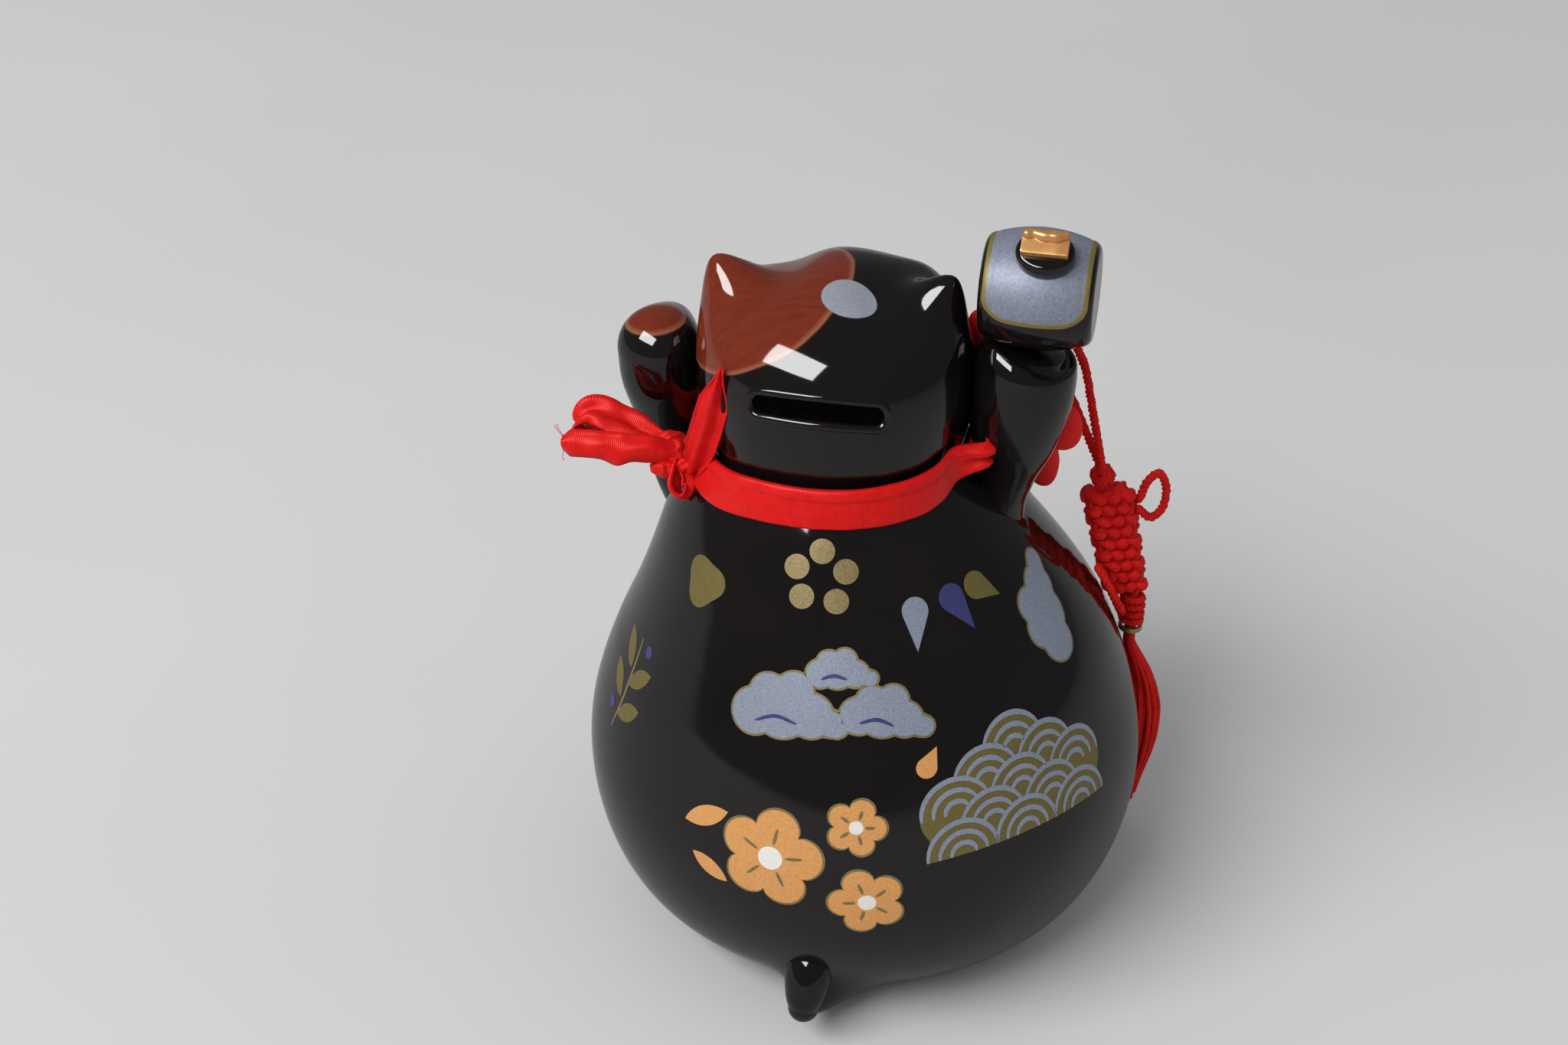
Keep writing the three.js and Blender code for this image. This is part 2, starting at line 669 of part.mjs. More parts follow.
function ribbonKnot(grow) {
  return ellipsoid(knotCentre, vec(KNOT_RADIUS + grow, KNOT_DEPTH_RADIUS + grow, KNOT_RADIUS + grow), 14, 10);
}

// Padded bow: plump lobes from a knot that sits on the front of the right arm.
const padKnot = vec(
  PAD_KNOT_RADIUS / 3 - rightArmReach,
  -RIGHT_ARM_RADIUS - PAD_KNOT_RADIUS - FIT_GAP,
  lerp(shoulderHeight, RIGHT_ARM_TOP, PAD_KNOT_SHARE),
);
const padStep = (x, y, z) => vec(x, y, z).multiplyScalar(PAD_WIDTH).add(padKnot);
const padTips = {
  padded_bow_upper: padStep(0.95, -0.25, 0.93),
  padded_bow_lower: padStep(-0.84, 0.19, -1.2),
};

// The tail of the padded bow hangs to the shoulder, clear of the body.
function padTailTip() {
  const height = padKnot.z - PAD_TAIL_DROP;
  const reach = bodyRadius(height) + PAD_THICKNESS / 2 + PAD_TAIL_REST;
  return around(reach, PAD_TAIL_BEARING).add(vec(lean(height), 0, height));
}

function lobe(tip, width, rootShare, grow = 0) {
  const along = tip.clone().sub(padKnot);
  const start = padKnot.clone().addScaledVector(along, (PAD_KNOT_RADIUS + FIT_GAP) / along.length());
  const curve = new THREE.LineCurve3(start, tip);
  const plump = (t) => Math.max(0.06, lerp(rootShare, 1, smoothstep(t, 0, 0.6)) * Math.sqrt(1 - t ** 5));
  const section = (t) => oval((plump(t) * width) / 2 + grow, (plump(t) * PAD_THICKNESS) / 2 + grow, 12);
  return loft(ringsAlong(curve, 9, section));
}

// Tassel, worked in its own upright plane: x is the distance from the body's axis, y lies along the belly.
const onBelly = (height, thickness) => bodyRadius(height) + thickness + FIT_GAP;
const windingRadius = CORE_RADIUS + FIT_GAP + WINDING_CORD / 2;
const buttonCentre = vec(PIVOT_RADIUS + HANGER_SPREAD, 0, PIVOT_HEIGHT - HANGER_LENGTH);
const blockTop = buttonCentre.z - BUTTON_RADIUS - FIT_GAP;
const blockBottom = blockTop - BLOCK_LENGTH;
const windingLength = WINDING_TURNS * WINDING_PITCH + WINDING_CORD + FIT_GAP;
const skirtTop = blockBottom - FIT_GAP;
const neckFoot = skirtTop - windingLength - FIT_GAP;
const neckOut = onBelly(neckFoot - BAND_HEIGHT, CORE_RADIUS + FIT_GAP + WINDING_CORD);
const blockLine = new THREE.LineCurve3(
  vec(buttonCentre.x + 1.4, 0, blockTop),
  vec(neckOut - 1.2, 0, blockBottom),
);

function strand(offset) {
  const start = vec(PIVOT_RADIUS + 0.4, offset, PIVOT_HEIGHT - CORD_DIAMETER / 2 - FIT_GAP);
  const end = vec(buttonCentre.x - 0.6, offset * 0.9, buttonCentre.z + BUTTON_RADIUS + FIT_GAP);
  const middle = start.clone().lerp(end, 0.5);
  return cord([start, middle, end], CORD_DIAMETER, 6);
}

// The loop that carries the tassel, over the handle's stub and down to the strands.
function hangingLoop(toTassel) {
  const tilt = degToRad(HANDLE_TILT);
  const along = vec(0, 0, -BARREL_RADIUS - HANDLE_STUB * 0.45);
  const peg = along.applyAxisAngle(vec(1, 0, 0), -tilt).add(barrelCentre);
  const clear = HANDLE_RADIUS + CORD_DIAMETER / 2 + 4 * FIT_GAP;
  const front = peg.clone().add(vec(0, -Math.cos(tilt), Math.sin(tilt)).multiplyScalar(clear));
  const end = (offset) => vec(PIVOT_RADIUS, offset, PIVOT_HEIGHT + FIT_GAP).applyMatrix4(toTassel);
  const near = end(STRAND_SPACING / 2);
  const far = end(-STRAND_SPACING / 2);
  return cord(
    [
      far,
      far.clone().lerp(peg, 0.35).add(vec(-1.5, -2.4, 0.5)),
      peg.clone().add(vec(-clear - 0.3, -2, 0)),
      front.clone().add(vec(-clear * 0.55, 0, 0.6)),
      front.clone().add(vec(clear * 0.55, 0, 0.6)),
      peg.clone().add(vec(clear + 0.3, -4, -1)),
      peg.clone().add(vec(clear * 0.4, -8.2, -6)),
      near.clone().lerp(peg, 0.35).add(vec(-0.5, -6, -1.5)),
      near,
    ],
    CORD_DIAMETER,
    44,
  );
}

// Woven knot: a flat core with staggered bumps where the cord turns over itself, on both faces.
function wovenKnot() {
  const bump = vec(BLOCK_WIDTH / BLOCK_COLUMNS / 2 + 0.5, 2.4, BLOCK_LENGTH / BLOCK_ROWS / 2 + 0.35);
  const solids = [];
  const core = ringsAlong(blockLine, 1, () => strip(BLOCK_THICKNESS - 3, BLOCK_WIDTH - 2.6));
  solids.push(toSolid(loft(core)));
  for (let row = 0; row < BLOCK_ROWS; row++) {
    const middle = blockLine.getPoint((row + 0.5) / BLOCK_ROWS);
    const stagger = row % 2 ? 0.25 : -0.25;
    for (let column = 0; column < BLOCK_COLUMNS; column++) {
      const across = ((column + 0.5 + stagger * 0.6) / BLOCK_COLUMNS - 0.5) * (BLOCK_WIDTH - 1.2);
      for (const face of [1, -1]) {
        const centre = middle.clone().add(vec(across * face, face * (BLOCK_THICKNESS / 2 - bump.y), 0));
        solids.push(toSolid(ellipsoid(centre, bump, 7, 4)));
      }
    }
  }
  const wide = 2 * BELLY_RADIUS;
  const inside = revolve(
    [flat(0, blockBottom), flat(wide, blockBottom), flat(wide, blockTop), flat(0, blockTop)],
    12,
  );
  return join(...solids).intersect(toSolid(inside));
}

// Loops of cord left standing at the knot's corners: the upper one points outwards,
// the lower one lies beside the knot on the belly.
function upperLoop() {
  const root = blockLine.getPoint(0.1).add(vec(BLOCK_WIDTH / 2 + CORD_DIAMETER / 2 + 3 * FIT_GAP, 0, 0));
  const at = (x, z) => vec(x, 0, z).multiplyScalar(CORD_DIAMETER).add(root);
  const outward = [at(0, -1.92), at(1.33, -3.17), at(2.58, -2.08), at(2.75, 0.42)];
  const back = [at(1.83, 2.25), at(0.58, 1.33), at(0, -0.42)];
  return cord([...outward, ...back], CORD_DIAMETER, 22, 7);
}

function lowerLoop() {
  const height = lerp(blockTop, blockBottom, 0.8);
  const near = -BLOCK_THICKNESS / 2 - CORD_DIAMETER / 2 - FIT_GAP;
  const at = (y, z) => {
    const rise = height + z * CORD_DIAMETER;
    return vec(onBelly(rise, CORD_DIAMETER / 2 + FIT_GAP), near + y * CORD_DIAMETER, rise);
  };
  const outward = [at(0, 1.25), at(-0.67, 2.67), at(-1.92, 2.5), at(-2.33, 0)];
  const back = [at(-1.83, -2.5), at(-0.58, -2.5), at(0, -0.83)];
  return cord([...outward, ...back], CORD_DIAMETER, 22, 7);
}

function windingCurve() {
  const points = [];
  const perTurn = 24;
  const top = skirtTop - FIT_GAP - WINDING_CORD / 2;
  for (let i = 0; i <= WINDING_TURNS * perTurn; i++) {
    const turn = (2 * Math.PI * i) / perTurn;
    const height = top - (WINDING_PITCH * i) / perTurn;
    points.push(vec(neckOut + windingRadius * Math.cos(turn), windingRadius * Math.sin(turn), height));
  }
  return points;
}

function leastSelfGap(points, apart, diameter) {
  let least = Infinity;
  points.forEach((p, i) => {
    for (let j = i + apart; j < points.length; j++) {
      least = Math.min(least, p.distanceTo(points[j]) - diameter);
    }
  });
  return least;
}

function winding() {
  const points = windingCurve();
  console.log("neck winding, least gap to itself:", leastSelfGap(points, 12, WINDING_CORD).toFixed(2), "mm");
  const curve = new THREE.CatmullRomCurve3(points);
  const round = oval(WINDING_CORD / 2, WINDING_CORD / 2, 6);
  return loft(ringsAlong(curve, points.length - 1, () => round, vec(0, 0, 1)));
}

function threadBand() {
  const inner = CORE_RADIUS + FIT_GAP;
  const outer = inner + BAND_THICKNESS;
  const low = neckFoot - BAND_HEIGHT;
  const rounding = BAND_HEIGHT / 5;
  const profile = [
    flat(inner, low),
    flat(outer, low + rounding),
    flat(outer, neckFoot - rounding),
    flat(inner, neckFoot),
    flat(inner, low),
  ];
  const ring = revolve(profile, 20);
  ring.translate(neckOut, 0, 0);
  return ring;
}

// Skirt: the strands' bundle runs up through the winding, and flares below the band against the belly.
function skirt() {
  const flareTop = neckFoot - BAND_HEIGHT - FIT_GAP;
  const end = flareTop - SKIRT_LENGTH;
  const widest = onBelly(BELLY_HEIGHT, SKIRT_DEPTH / 2 + SKIRT_STAND_OFF);
  const sides = SKIRT_FLUTES * 4;
  const section = (height, width, depth, flute, out) =>
    Array.from({ length: sides }, (_, i) => {
      const turn = (2 * Math.PI * i) / sides;
      const ripple = 1 + flute * Math.cos(turn * SKIRT_FLUTES);
      return vec(out + (depth / 2) * ripple * Math.cos(turn), (width / 2) * ripple * Math.sin(turn), height);
    });
  const core = 2 * CORE_RADIUS;
  const rings = [section(skirtTop, core, core, 0, neckOut), section(flareTop, core, core, 0, neckOut)];
  const shares = [0.06, 0.16, 0.3, 0.46, 0.62, 0.8, 1];
  shares.forEach((share) => {
    const height = lerp(flareTop, end, share);
    const spread = smoothstep(share, 0, 0.45);
    const depth = lerp(core, SKIRT_DEPTH, spread);
    const hanging = widest - SKIRT_TUCK * smoothstep(share, 0.5, 1);
    const out = height > BELLY_HEIGHT ? onBelly(height, depth / 2 + SKIRT_STAND_OFF) : hanging;
    rings.push(section(height, lerp(core + 1, SKIRT_WIDTH, spread), depth, 0.07, Math.max(out, neckOut)));
  });
  return loft(rings);
}

// Assembly.
const group = new THREE.Group();
const figure = new THREE.Group();
const tassel = new THREE.Group();
tassel.rotation.z = degToRad(TASSEL_BEARING);
tassel.updateMatrix();
group.add(figure, tassel);

figure.add(
  piece("body_casting", toGeometry(bodyCasting()), "black_glaze"),
  piece("left_arm_casting", toGeometry(leftArm()), "black_glaze"),
  piece("right_arm_casting", toGeometry(rightArm()), "black_glaze"),
  piece("mallet_barrel", toGeometry(barrel()), "silver_lustre"),
  piece("mallet_handle", toGeometry(handle(0)), "black_glaze"),
  piece("gilded_cap", gildedCap(), "gilt"),
  piece("base_stopper", toGeometry(stopper()), "soft_plug"),
  piece("ribbon_collar", collar(), "satin_ribbon"),
  piece("ribbon_knot", ribbonKnot(0), "satin_ribbon"),
);

tassel.add(
  piece("strand_near", strand(STRAND_SPACING / 2), "red_cord"),
  piece("strand_far", strand(-STRAND_SPACING / 2), "red_cord"),
  piece("button_knot", ball(buttonCentre, BUTTON_RADIUS, 14), "red_cord"),
  piece("woven_knot", toGeometry(wovenKnot()), "red_cord"),
  piece("knot_loop_upper", upperLoop(), "red_cord"),
  piece("knot_loop_lower", lowerLoop(), "red_cord"),
  piece("neck_winding", winding(), "red_cord"),
  piece("metal_thread_band", threadBand(), "metal_thread"),
  piece("tassel_skirt", skirt(), "red_cord"),
);
figure.add(piece("hanging_loop", hangingLoop(tassel.matrix), "red_cord"));

const lowerPad = toSolid(lobe(padTips.padded_bow_lower, PAD_WIDTH, 0.45, FIT_GAP));
const padTail = toSolid(lobe(padTailTip(), PAD_TAIL_WIDTH, 0.3)).subtract(lowerPad);
figure.add(piece("padded_bow_knot", ball(padKnot, PAD_KNOT_RADIUS, 12), "padded_fabric"));
figure.add(piece("padded_bow_tail", toGeometry(padTail), "padded_fabric"));
for (const [name, tip] of Object.entries(padTips)) {
  figure.add(piece(name, lobe(tip, PAD_WIDTH, 0.45), "padded_fabric"));
}

// Runs of ribbon from the knot: steps from its centre in ribbon widths, the way each lies and how wide it is.
const bowSide = vec(0.25, 1, 0.3).normalize();
const ribbonRuns = {
  bow_loop: {
    steps: [
      [0.34, 0.03, 0.32],
      [1.2, 0.1, 1.2],
      [1.9, 0.1, 1.35],
      [2.15, 0, 0.95],
      [1.5, -0.1, 0.6],
      [0.42, -0.1, 0.12],
    ],
    side: bowSide,
    width: RIBBON_WIDTH,
  },
  bow_loop_lower: {
    steps: [
      [-0.26, 0.34, -0.26],
      [-0.5, 0.9, -0.58],
      [-0.3, 1.1, -0.78],
      [0, 0.94, -0.74],
      [-0.03, 0.34, -0.38],
    ],
    side: bowSide,
    width: BUNCHED_WIDTH,
  },
  ribbon_tail_left: {
    steps: [
      [0.36, 0.06, -0.09],
      [1.25, 0.2, -0.1],
      [1.9, 0.24, -0.14],
      [2.7, 0.2, -0.1],
    ],
    side: bowSide,
    width: RIBBON_WIDTH,
  },
  ribbon_tail_upright: {
    steps: [
      [-0.2, 0.26, 0.34],
      [-0.6, 0.74, 1.2],
      [-1, 0.96, 2],
      [-1.4, 1.04, 3],
    ],
    side: vec(1, -0.7, 0.3).normalize(),
    width: BUNCHED_WIDTH,
  },
};
for (const [name, run] of Object.entries(ribbonRuns)) {
  const points = run.steps.map((step) => vec(...step).multiplyScalar(RIBBON_WIDTH).add(knotCentre));
  const solid = toSolid(ribbon(points, run.side, run.width)).subtract(toSolid(ribbonKnot(FIT_GAP)));
  figure.add(piece(name, toGeometry(solid), "satin_ribbon"));
}

const box = new THREE.Box3();
figure.updateMatrixWorld(true);
const standing = figure.children.filter((mesh) => mesh.name !== "hanging_loop");
standing.forEach((mesh) => box.expandByObject(mesh, true));
const middle = box.getCenter(vec(0, 0, 0));
group.position.set(-middle.x, -middle.y, -box.min.z);

export default group;
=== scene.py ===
from math import acos, atan2, copysign, cos, exp, hypot, pi, radians, sin, sqrt

import bmesh
import bpy
import numpy as np
from mathutils import Matrix, Vector, noise
from mathutils.bvhtree import BVHTree


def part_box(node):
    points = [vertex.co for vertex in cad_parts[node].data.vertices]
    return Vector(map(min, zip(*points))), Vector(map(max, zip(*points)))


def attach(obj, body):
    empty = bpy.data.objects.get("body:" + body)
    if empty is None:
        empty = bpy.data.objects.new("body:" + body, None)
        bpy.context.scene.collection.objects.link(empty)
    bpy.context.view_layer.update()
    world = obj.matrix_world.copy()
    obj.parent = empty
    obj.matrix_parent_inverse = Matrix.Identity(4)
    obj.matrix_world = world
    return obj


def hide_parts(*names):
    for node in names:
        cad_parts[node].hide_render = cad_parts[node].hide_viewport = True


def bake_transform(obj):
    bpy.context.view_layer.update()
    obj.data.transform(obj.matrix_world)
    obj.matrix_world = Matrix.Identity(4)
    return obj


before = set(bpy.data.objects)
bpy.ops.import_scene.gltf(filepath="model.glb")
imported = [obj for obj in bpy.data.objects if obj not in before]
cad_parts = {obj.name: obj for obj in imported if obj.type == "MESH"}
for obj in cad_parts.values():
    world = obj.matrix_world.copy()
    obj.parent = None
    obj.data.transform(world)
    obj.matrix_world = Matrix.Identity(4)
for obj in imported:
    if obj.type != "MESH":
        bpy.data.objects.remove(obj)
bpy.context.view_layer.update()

# Pieces are worked in millimetres from the figure's upright axis, and TO_FRAME sets them down in the frame.
plug_low, plug_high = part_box("base_stopper")
AXIS = (plug_low + plug_high) / 2
TO_FRAME = Matrix.Translation((AXIS.x, AXIS.y, 0)) @ Matrix.Scale(0.001, 4)

FULL_TURN, QUARTER = 2 * pi, pi / 2
FIT_GAP = 0.3
WALL = 4.5
BELLY_HEIGHT, NECK_HEIGHT, NECK_RADIUS = 47, 134, 30.5
BODY_OUTLINE = [(46, 0), (64, 20), (69.4, BELLY_HEIGHT), (62.5, 75), (46.4, 107), (NECK_RADIUS, NECK_HEIGHT)]
HEAD_OFFSET, HEAD_RADIUS, HEAD_DEPTH = 8.5, 32.5, 31
HEAD_WIDEST, HEAD_TOP, HEAD_FULLNESS = 153, 177.5, 2.2
LEAN_START, FLATTER_FROM, FLATTER_TO = 80, 125, 140
FOOT_RECESS, BASE_TOP = 4, 9
RECESS_RADIUS, PLUG_RADIUS = 38, 19
SLOT_LENGTH, SLOT_HEIGHT, SLOT_CENTRE = 31, 5.6, Vector((7.5, 29.6, 157.5))
SLOT_TURN = Matrix.Rotation(radians(26), 4, "X")
BARREL_CENTRE = Vector((-37.6, 0.5, 177.9))
BARREL_RADIUS, BARREL_END, BARREL_LENGTH = 13.8, 12, 25.6
HANDLE_TILT, HANDLE_RADIUS, HANDLE_STUB = radians(31), 3.4, 12
RIBBON_WIDTH, RIBBON_HEIGHT, RIBBON_THICKNESS, PLEATS = 10, 134, 0.4, 1.5
KNOT_CENTRE = Vector((45.34, 14.88, 131.8))
PAD_KNOT = Vector((-35.07, -15.3, 145.85))
TASSEL_BEARING = radians(205)
PIVOT_RADIUS, PIVOT_HEIGHT = 49.3, 144.5
CORD, STRAND_SPACING = 2.4, 2.9

chance = np.random.default_rng(11)


# Measuring helpers.

def smoothstep(value, low, high):
    t = min(max((value - low) / (high - low), 0), 1)
    return t * t * (3 - 2 * t)


def bell(offset, reach):
    """1 at no offset, falling softly to 0 beyond the reach."""
    return exp(-(offset / reach) ** 2)


def rows_of(points):
    return np.array([list(point) for point in points], float)


def spline(points, count):
    """A smooth curve through all the points but the first and last, which only set the slope at its ends."""
    t = np.linspace(0, len(points) - 3 - 1e-6, count)
    i = t.astype(int)
    f = (t - i)[:, None]
    a, b, c, d = points[i], points[i + 1], points[i + 2], points[i + 3]
    return b + f * ((c - a) + f * ((2 * a - 5 * b + 4 * c - d) + f * (3 * b - a - 3 * c + d))) / 2


def smooth(points, count):
    """The given number of points along a smooth curve through all the given ones."""
    p = rows_of(points)
    return spline(np.vstack([2 * p[0] - p[1], p, 2 * p[-1] - p[-2]]), count)


def outline_rows(count):
    return spline(rows_of([BODY_OUTLINE[0], *BODY_OUTLINE, BODY_OUTLINE[-1]]), count)


def run_along(path):
    """How far along a path each of its points lies."""
    return np.concatenate([[0], np.cumsum(np.linalg.norm(np.diff(path, axis=0), axis=1))])


BODY_ROWS = outline_rows(400)


def head_radius(height):
    rise = height - HEAD_WIDEST
    if rise > 0:
        return HEAD_RADIUS * sqrt(max(0, 1 - (rise / (HEAD_TOP - HEAD_WIDEST)) ** HEAD_FULLNESS))
    drop = rise / (HEAD_WIDEST - NECK_HEIGHT)
    return HEAD_RADIUS + (NECK_RADIUS - HEAD_RADIUS) * drop * drop


def body_radius(height):
    if height > NECK_HEIGHT:
        return head_radius(height)
    return float(np.interp(height, BODY_ROWS[:, 1], BODY_ROWS[:, 0]))


def lean(height):
    return HEAD_OFFSET * smoothstep(height, LEAN_START, NECK_HEIGHT)


def depth_share(height):
    return 1 + (HEAD_DEPTH / HEAD_RADIUS - 1) * smoothstep(height, FLATTER_FROM, FLATTER_TO)


def on_tassel(x, y, z):
    """A place in the tassel's upright plane: x out from the axis, y along the belly."""
    c, s = cos(TASSEL_BEARING), sin(TASSEL_BEARING)
    return Vector((x * c - y * s, x * s + y * c, z))


def on_handle(x, y, z):
    """A place measured along the mallet's handle from the barrel's centre."""
    c, s = cos(HANDLE_TILT), sin(HANDLE_TILT)
    return BARREL_CENTRE + Vector((x, y * c + z * s, z * c - y * s))


# Making helpers.

def made(operator, **settings):
    """A new shape from one of bmesh's operators."""
    shape = bmesh.new()
    operator(shape, **settings)
    return shape


def ball(around, rows):
    return made(bmesh.ops.create_uvsphere, u_segments=around, v_segments=rows, radius=1)


def rounded(shape, offset, segments=2):
    bmesh.ops.bevel(shape, geom=shape.edges[:], offset=offset, segments=segments, profile=0.5,
                    affect="EDGES", material=-1)


def settled(piece):
    """A new mesh of a piece as its modifiers or its bevel leave it."""
    return bpy.data.meshes.new_from_object(piece.evaluated_get(bpy.context.evaluated_depsgraph_get()))


def placed(name, data):
    """A new object in the scene."""
    piece = bpy.data.objects.new(name, data)
    bpy.context.scene.collection.objects.link(piece)
    return piece


def set_down(shape, name, finishes, body="figure", nodes=()):
    """Turns a shape in millimetres into a piece of the frame that rides on a body."""
    mesh = bpy.data.meshes.new(name)
    shape.to_mesh(mesh)
    shape.free()
    mesh.transform(TO_FRAME)
    for finish in finishes:
        mesh.materials.append(finish)
    piece = placed(name, mesh)
    if body:
        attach(piece, body)
    if nodes:
        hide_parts(*nodes)
    return piece


def softened(shape, angle=40):
    """Smooth shading that keeps edges sharper than the angle."""
    limit = radians(angle)
    for face in shape.faces:
        face.smooth = True
    for edge in shape.edges:
        edge.smooth = len(edge.link_faces) == 2 and edge.calc_face_angle(0) < limit
    return shape


def joined(shape):
    """Joins points that meet, and turns all faces outwards."""
    bmesh.ops.remove_doubles(shape, verts=shape.verts, dist=1e-4)
    bmesh.ops.recalc_face_normals(shape, faces=shape.faces)
    return shape


def spun(profile, steps):
    """A profile of radius and height turned about the upright axis."""
    shape = bmesh.new()
    verts = [shape.verts.new((radius, 0, height)) for radius, height in profile]
    edges = [shape.edges.new(pair) for pair in zip(verts, verts[1:])]
    bmesh.ops.spin(shape, geom=verts + edges, cent=(0, 0, 0), axis=(0, 0, 1), dvec=(0, 0, 0),
                   angle=FULL_TURN, steps=steps, use_merge=True)
    return joined(shape)


def bars(lines, sides):
    """Round bars along lines of places and radii, as one shape."""
    curve = bpy.data.curves.new("bars", "CURVE")
    curve.dimensions = "3D"
    curve.bevel_depth = 1
    curve.bevel_resolution = (sides - 4) // 2
    curve.use_fill_caps = True
    for line in lines:
        points = curve.splines.new("POLY").points
        points.add(len(line) - 1)
        points.foreach_set("co", np.hstack([line[:, :3], np.ones((len(line), 1))]).ravel())
        points.foreach_set("radius", line[:, 3])
    holder = placed("bars", curve)
    mesh = settled(holder)
    shape = bmesh.new()
    shape.from_mesh(mesh)
    bpy.data.objects.remove(holder)
    bpy.data.curves.remove(curve)
    bpy.data.meshes.remove(mesh)
    return softened(joined(shape), 60)


def even_line(path, radius):
    path = rows_of(path)
    return np.hstack([path, np.full((len(path), 1), radius)])


def round_ended(line, way, reach, first, steps):
    """A line of places and radii that runs on into a round end."""
    tip, radius = line[-1][:3], line[-1][3]
    turns = np.linspace(first, QUARTER, steps)
    end = [[*(tip + np.array(way) * reach * sin(a)), radius * cos(a) + 1e-3] for a in turns]
    return np.vstack([line, end])


def twisted(path, diameter, lay=4.2, strands=3):
    """The strands of a laid cord along a path, as lines of places and radii."""
    path = rows_of(path)
    tangent = np.gradient(path, axis=0)
    tangent /= np.linalg.norm(tangent, axis=1)[:, None]
    side = np.cross(tangent[0], [0.3, 0.2, 0.9])
    thin = diameter / 2 / (1 + 1 / sin(pi / strands))
    lines = [[] for _ in range(strands)]
    for place, along, reach in zip(path, tangent, run_along(path)):
        side = side - along * side.dot(along)
        side /= np.linalg.norm(side)
        other = np.cross(along, side)
        for strand, line in enumerate(lines):
            turn = FULL_TURN * (reach / lay + strand / strands)
            out = side * cos(turn) + other * sin(turn)
            line.append([*(place + (diameter / 2 - thin) * out), thin])
    return [np.array(line) for line in lines]


def added(shape, other):
    """Takes another shape's faces into this one."""
    mesh = bpy.data.meshes.new("other")
    other.to_mesh(mesh)
    other.free()
    shape.from_mesh(mesh)
    bpy.data.meshes.remove(mesh)
    return shape


# Finishes.

def rgb(*channels):
    """A colour given as red, green and blue up to 255, made linear for the shader."""
    shares = [c / 255 for c in channels]
    return (*(c / 12.92 if c <= 0.04045 else ((c + 0.055) / 1.055) ** 2.4 for c in shares), 1)


def tones(*stops):
    """Stops of a colour ramp, each given as its place on the ramp and its colour."""
    return [(place, rgb(*colour)) for place, *colour in stops]


class Finish:
    """A material with the means to add and join its nodes."""

    def __init__(self, name, roughness, metallic=0.0, **sockets):
        self.material = bpy.data.materials.new(name)
        self.material.use_nodes = True
        self.nodes = self.material.node_tree.nodes
        self.links = self.material.node_tree.links
        self.shader = self.nodes["Principled BSDF"]
        for socket, value in dict(sockets, Roughness=roughness, Metallic=metallic).items():
            self.set(socket.replace("_", " "), value)

    def join(self, socket, value):
        if isinstance(value, bpy.types.NodeSocket):
            self.links.new(value, socket)
        else:
            socket.default_value = value

    def set(self, socket, value):
        self.join(self.shader.inputs[socket], value)

    def node(self, kind, inputs=None, **settings):
        node = self.nodes.new("ShaderNode" + kind)
        for name, value in settings.items():
            setattr(node, name, value)
        for name, value in (inputs or {}).items():
            self.join(node.inputs[name], value)
        return node

    def math(self, operation, a, b=0.0):
        return self.node("Math", {0: a, 1: b}, operation=operation).outputs[0]

    def weighted(self, a, weight_a, b, weight_b):
        return self.math("ADD", self.math("MULTIPLY", a, weight_a), self.math("MULTIPLY", b, weight_b))

    def vector(self, operation, a, b=(0, 0, 0)):
        output = "Value" if operation in ("LENGTH", "DOT_PRODUCT") else "Vector"
        return self.node("VectorMath", {0: a, 1: b}, operation=operation).outputs[output]

    def parts(self, vector):
        return self.node("SeparateXYZ", {0: vector}).outputs

    def place(self):
        return self.node("TexCoord").outputs["Object"]

    def noise(self, scale, detail, vector=None):
        inputs = {"Vector": vector or self.place(), "Scale": scale, "Detail": detail}
        return self.node("TexNoise", inputs).outputs["Fac"]

    def ramp(self, value, stops):
        node = self.node("ValToRGB", {"Fac": value})
        elements = node.color_ramp.elements
        elements[0].position, elements[0].color = stops[0]
        elements[1].position, elements[1].color = stops[-1]
        for position, colour in stops[1:-1]:
            elements.new(position).color = colour
        return node.outputs["Color"]

    def mix(self, share, a, b):
        return self.node("Mix", {0: share, 6: a, 7: b}, data_type="RGBA").outputs[2]

    def between(self, value, zero, one):
        """A share of 0 to 1 as the value goes between the two given ones."""
        return self.node("MapRange", {"Value": value, "From Min": zero, "From Max": one}).outputs[0]

    def blend(self, share, a, b):
        """A number that goes from a to b with the share."""
        return self.node("MapRange", {"Value": share, "To Min": a, "To Max": b}).outputs[0]

    def bump(self, height, strength, distance):
        inputs = {"Height": height, "Strength": strength, "Distance": distance}
        self.set("Normal", self.node("Bump", inputs).outputs["Normal"])


BLACK_TONES = tones((0.35, 12, 9, 9), (0.7, 20, 15, 13))
BROWN_TONES = tones((0.3, 106, 38, 19), (0.5, 114, 42, 23), (0.74, 121, 47, 25))
BROWN_RIM = rgb(178, 124, 92)
SPOT_TONES = tones((0.3, 140, 144, 154), (0.75, 156, 160, 170))
PANEL_TONES = tones((0.3, 114, 120, 136), (0.72, 138, 144, 160))
PANEL_LINE = rgb(128, 112, 48)


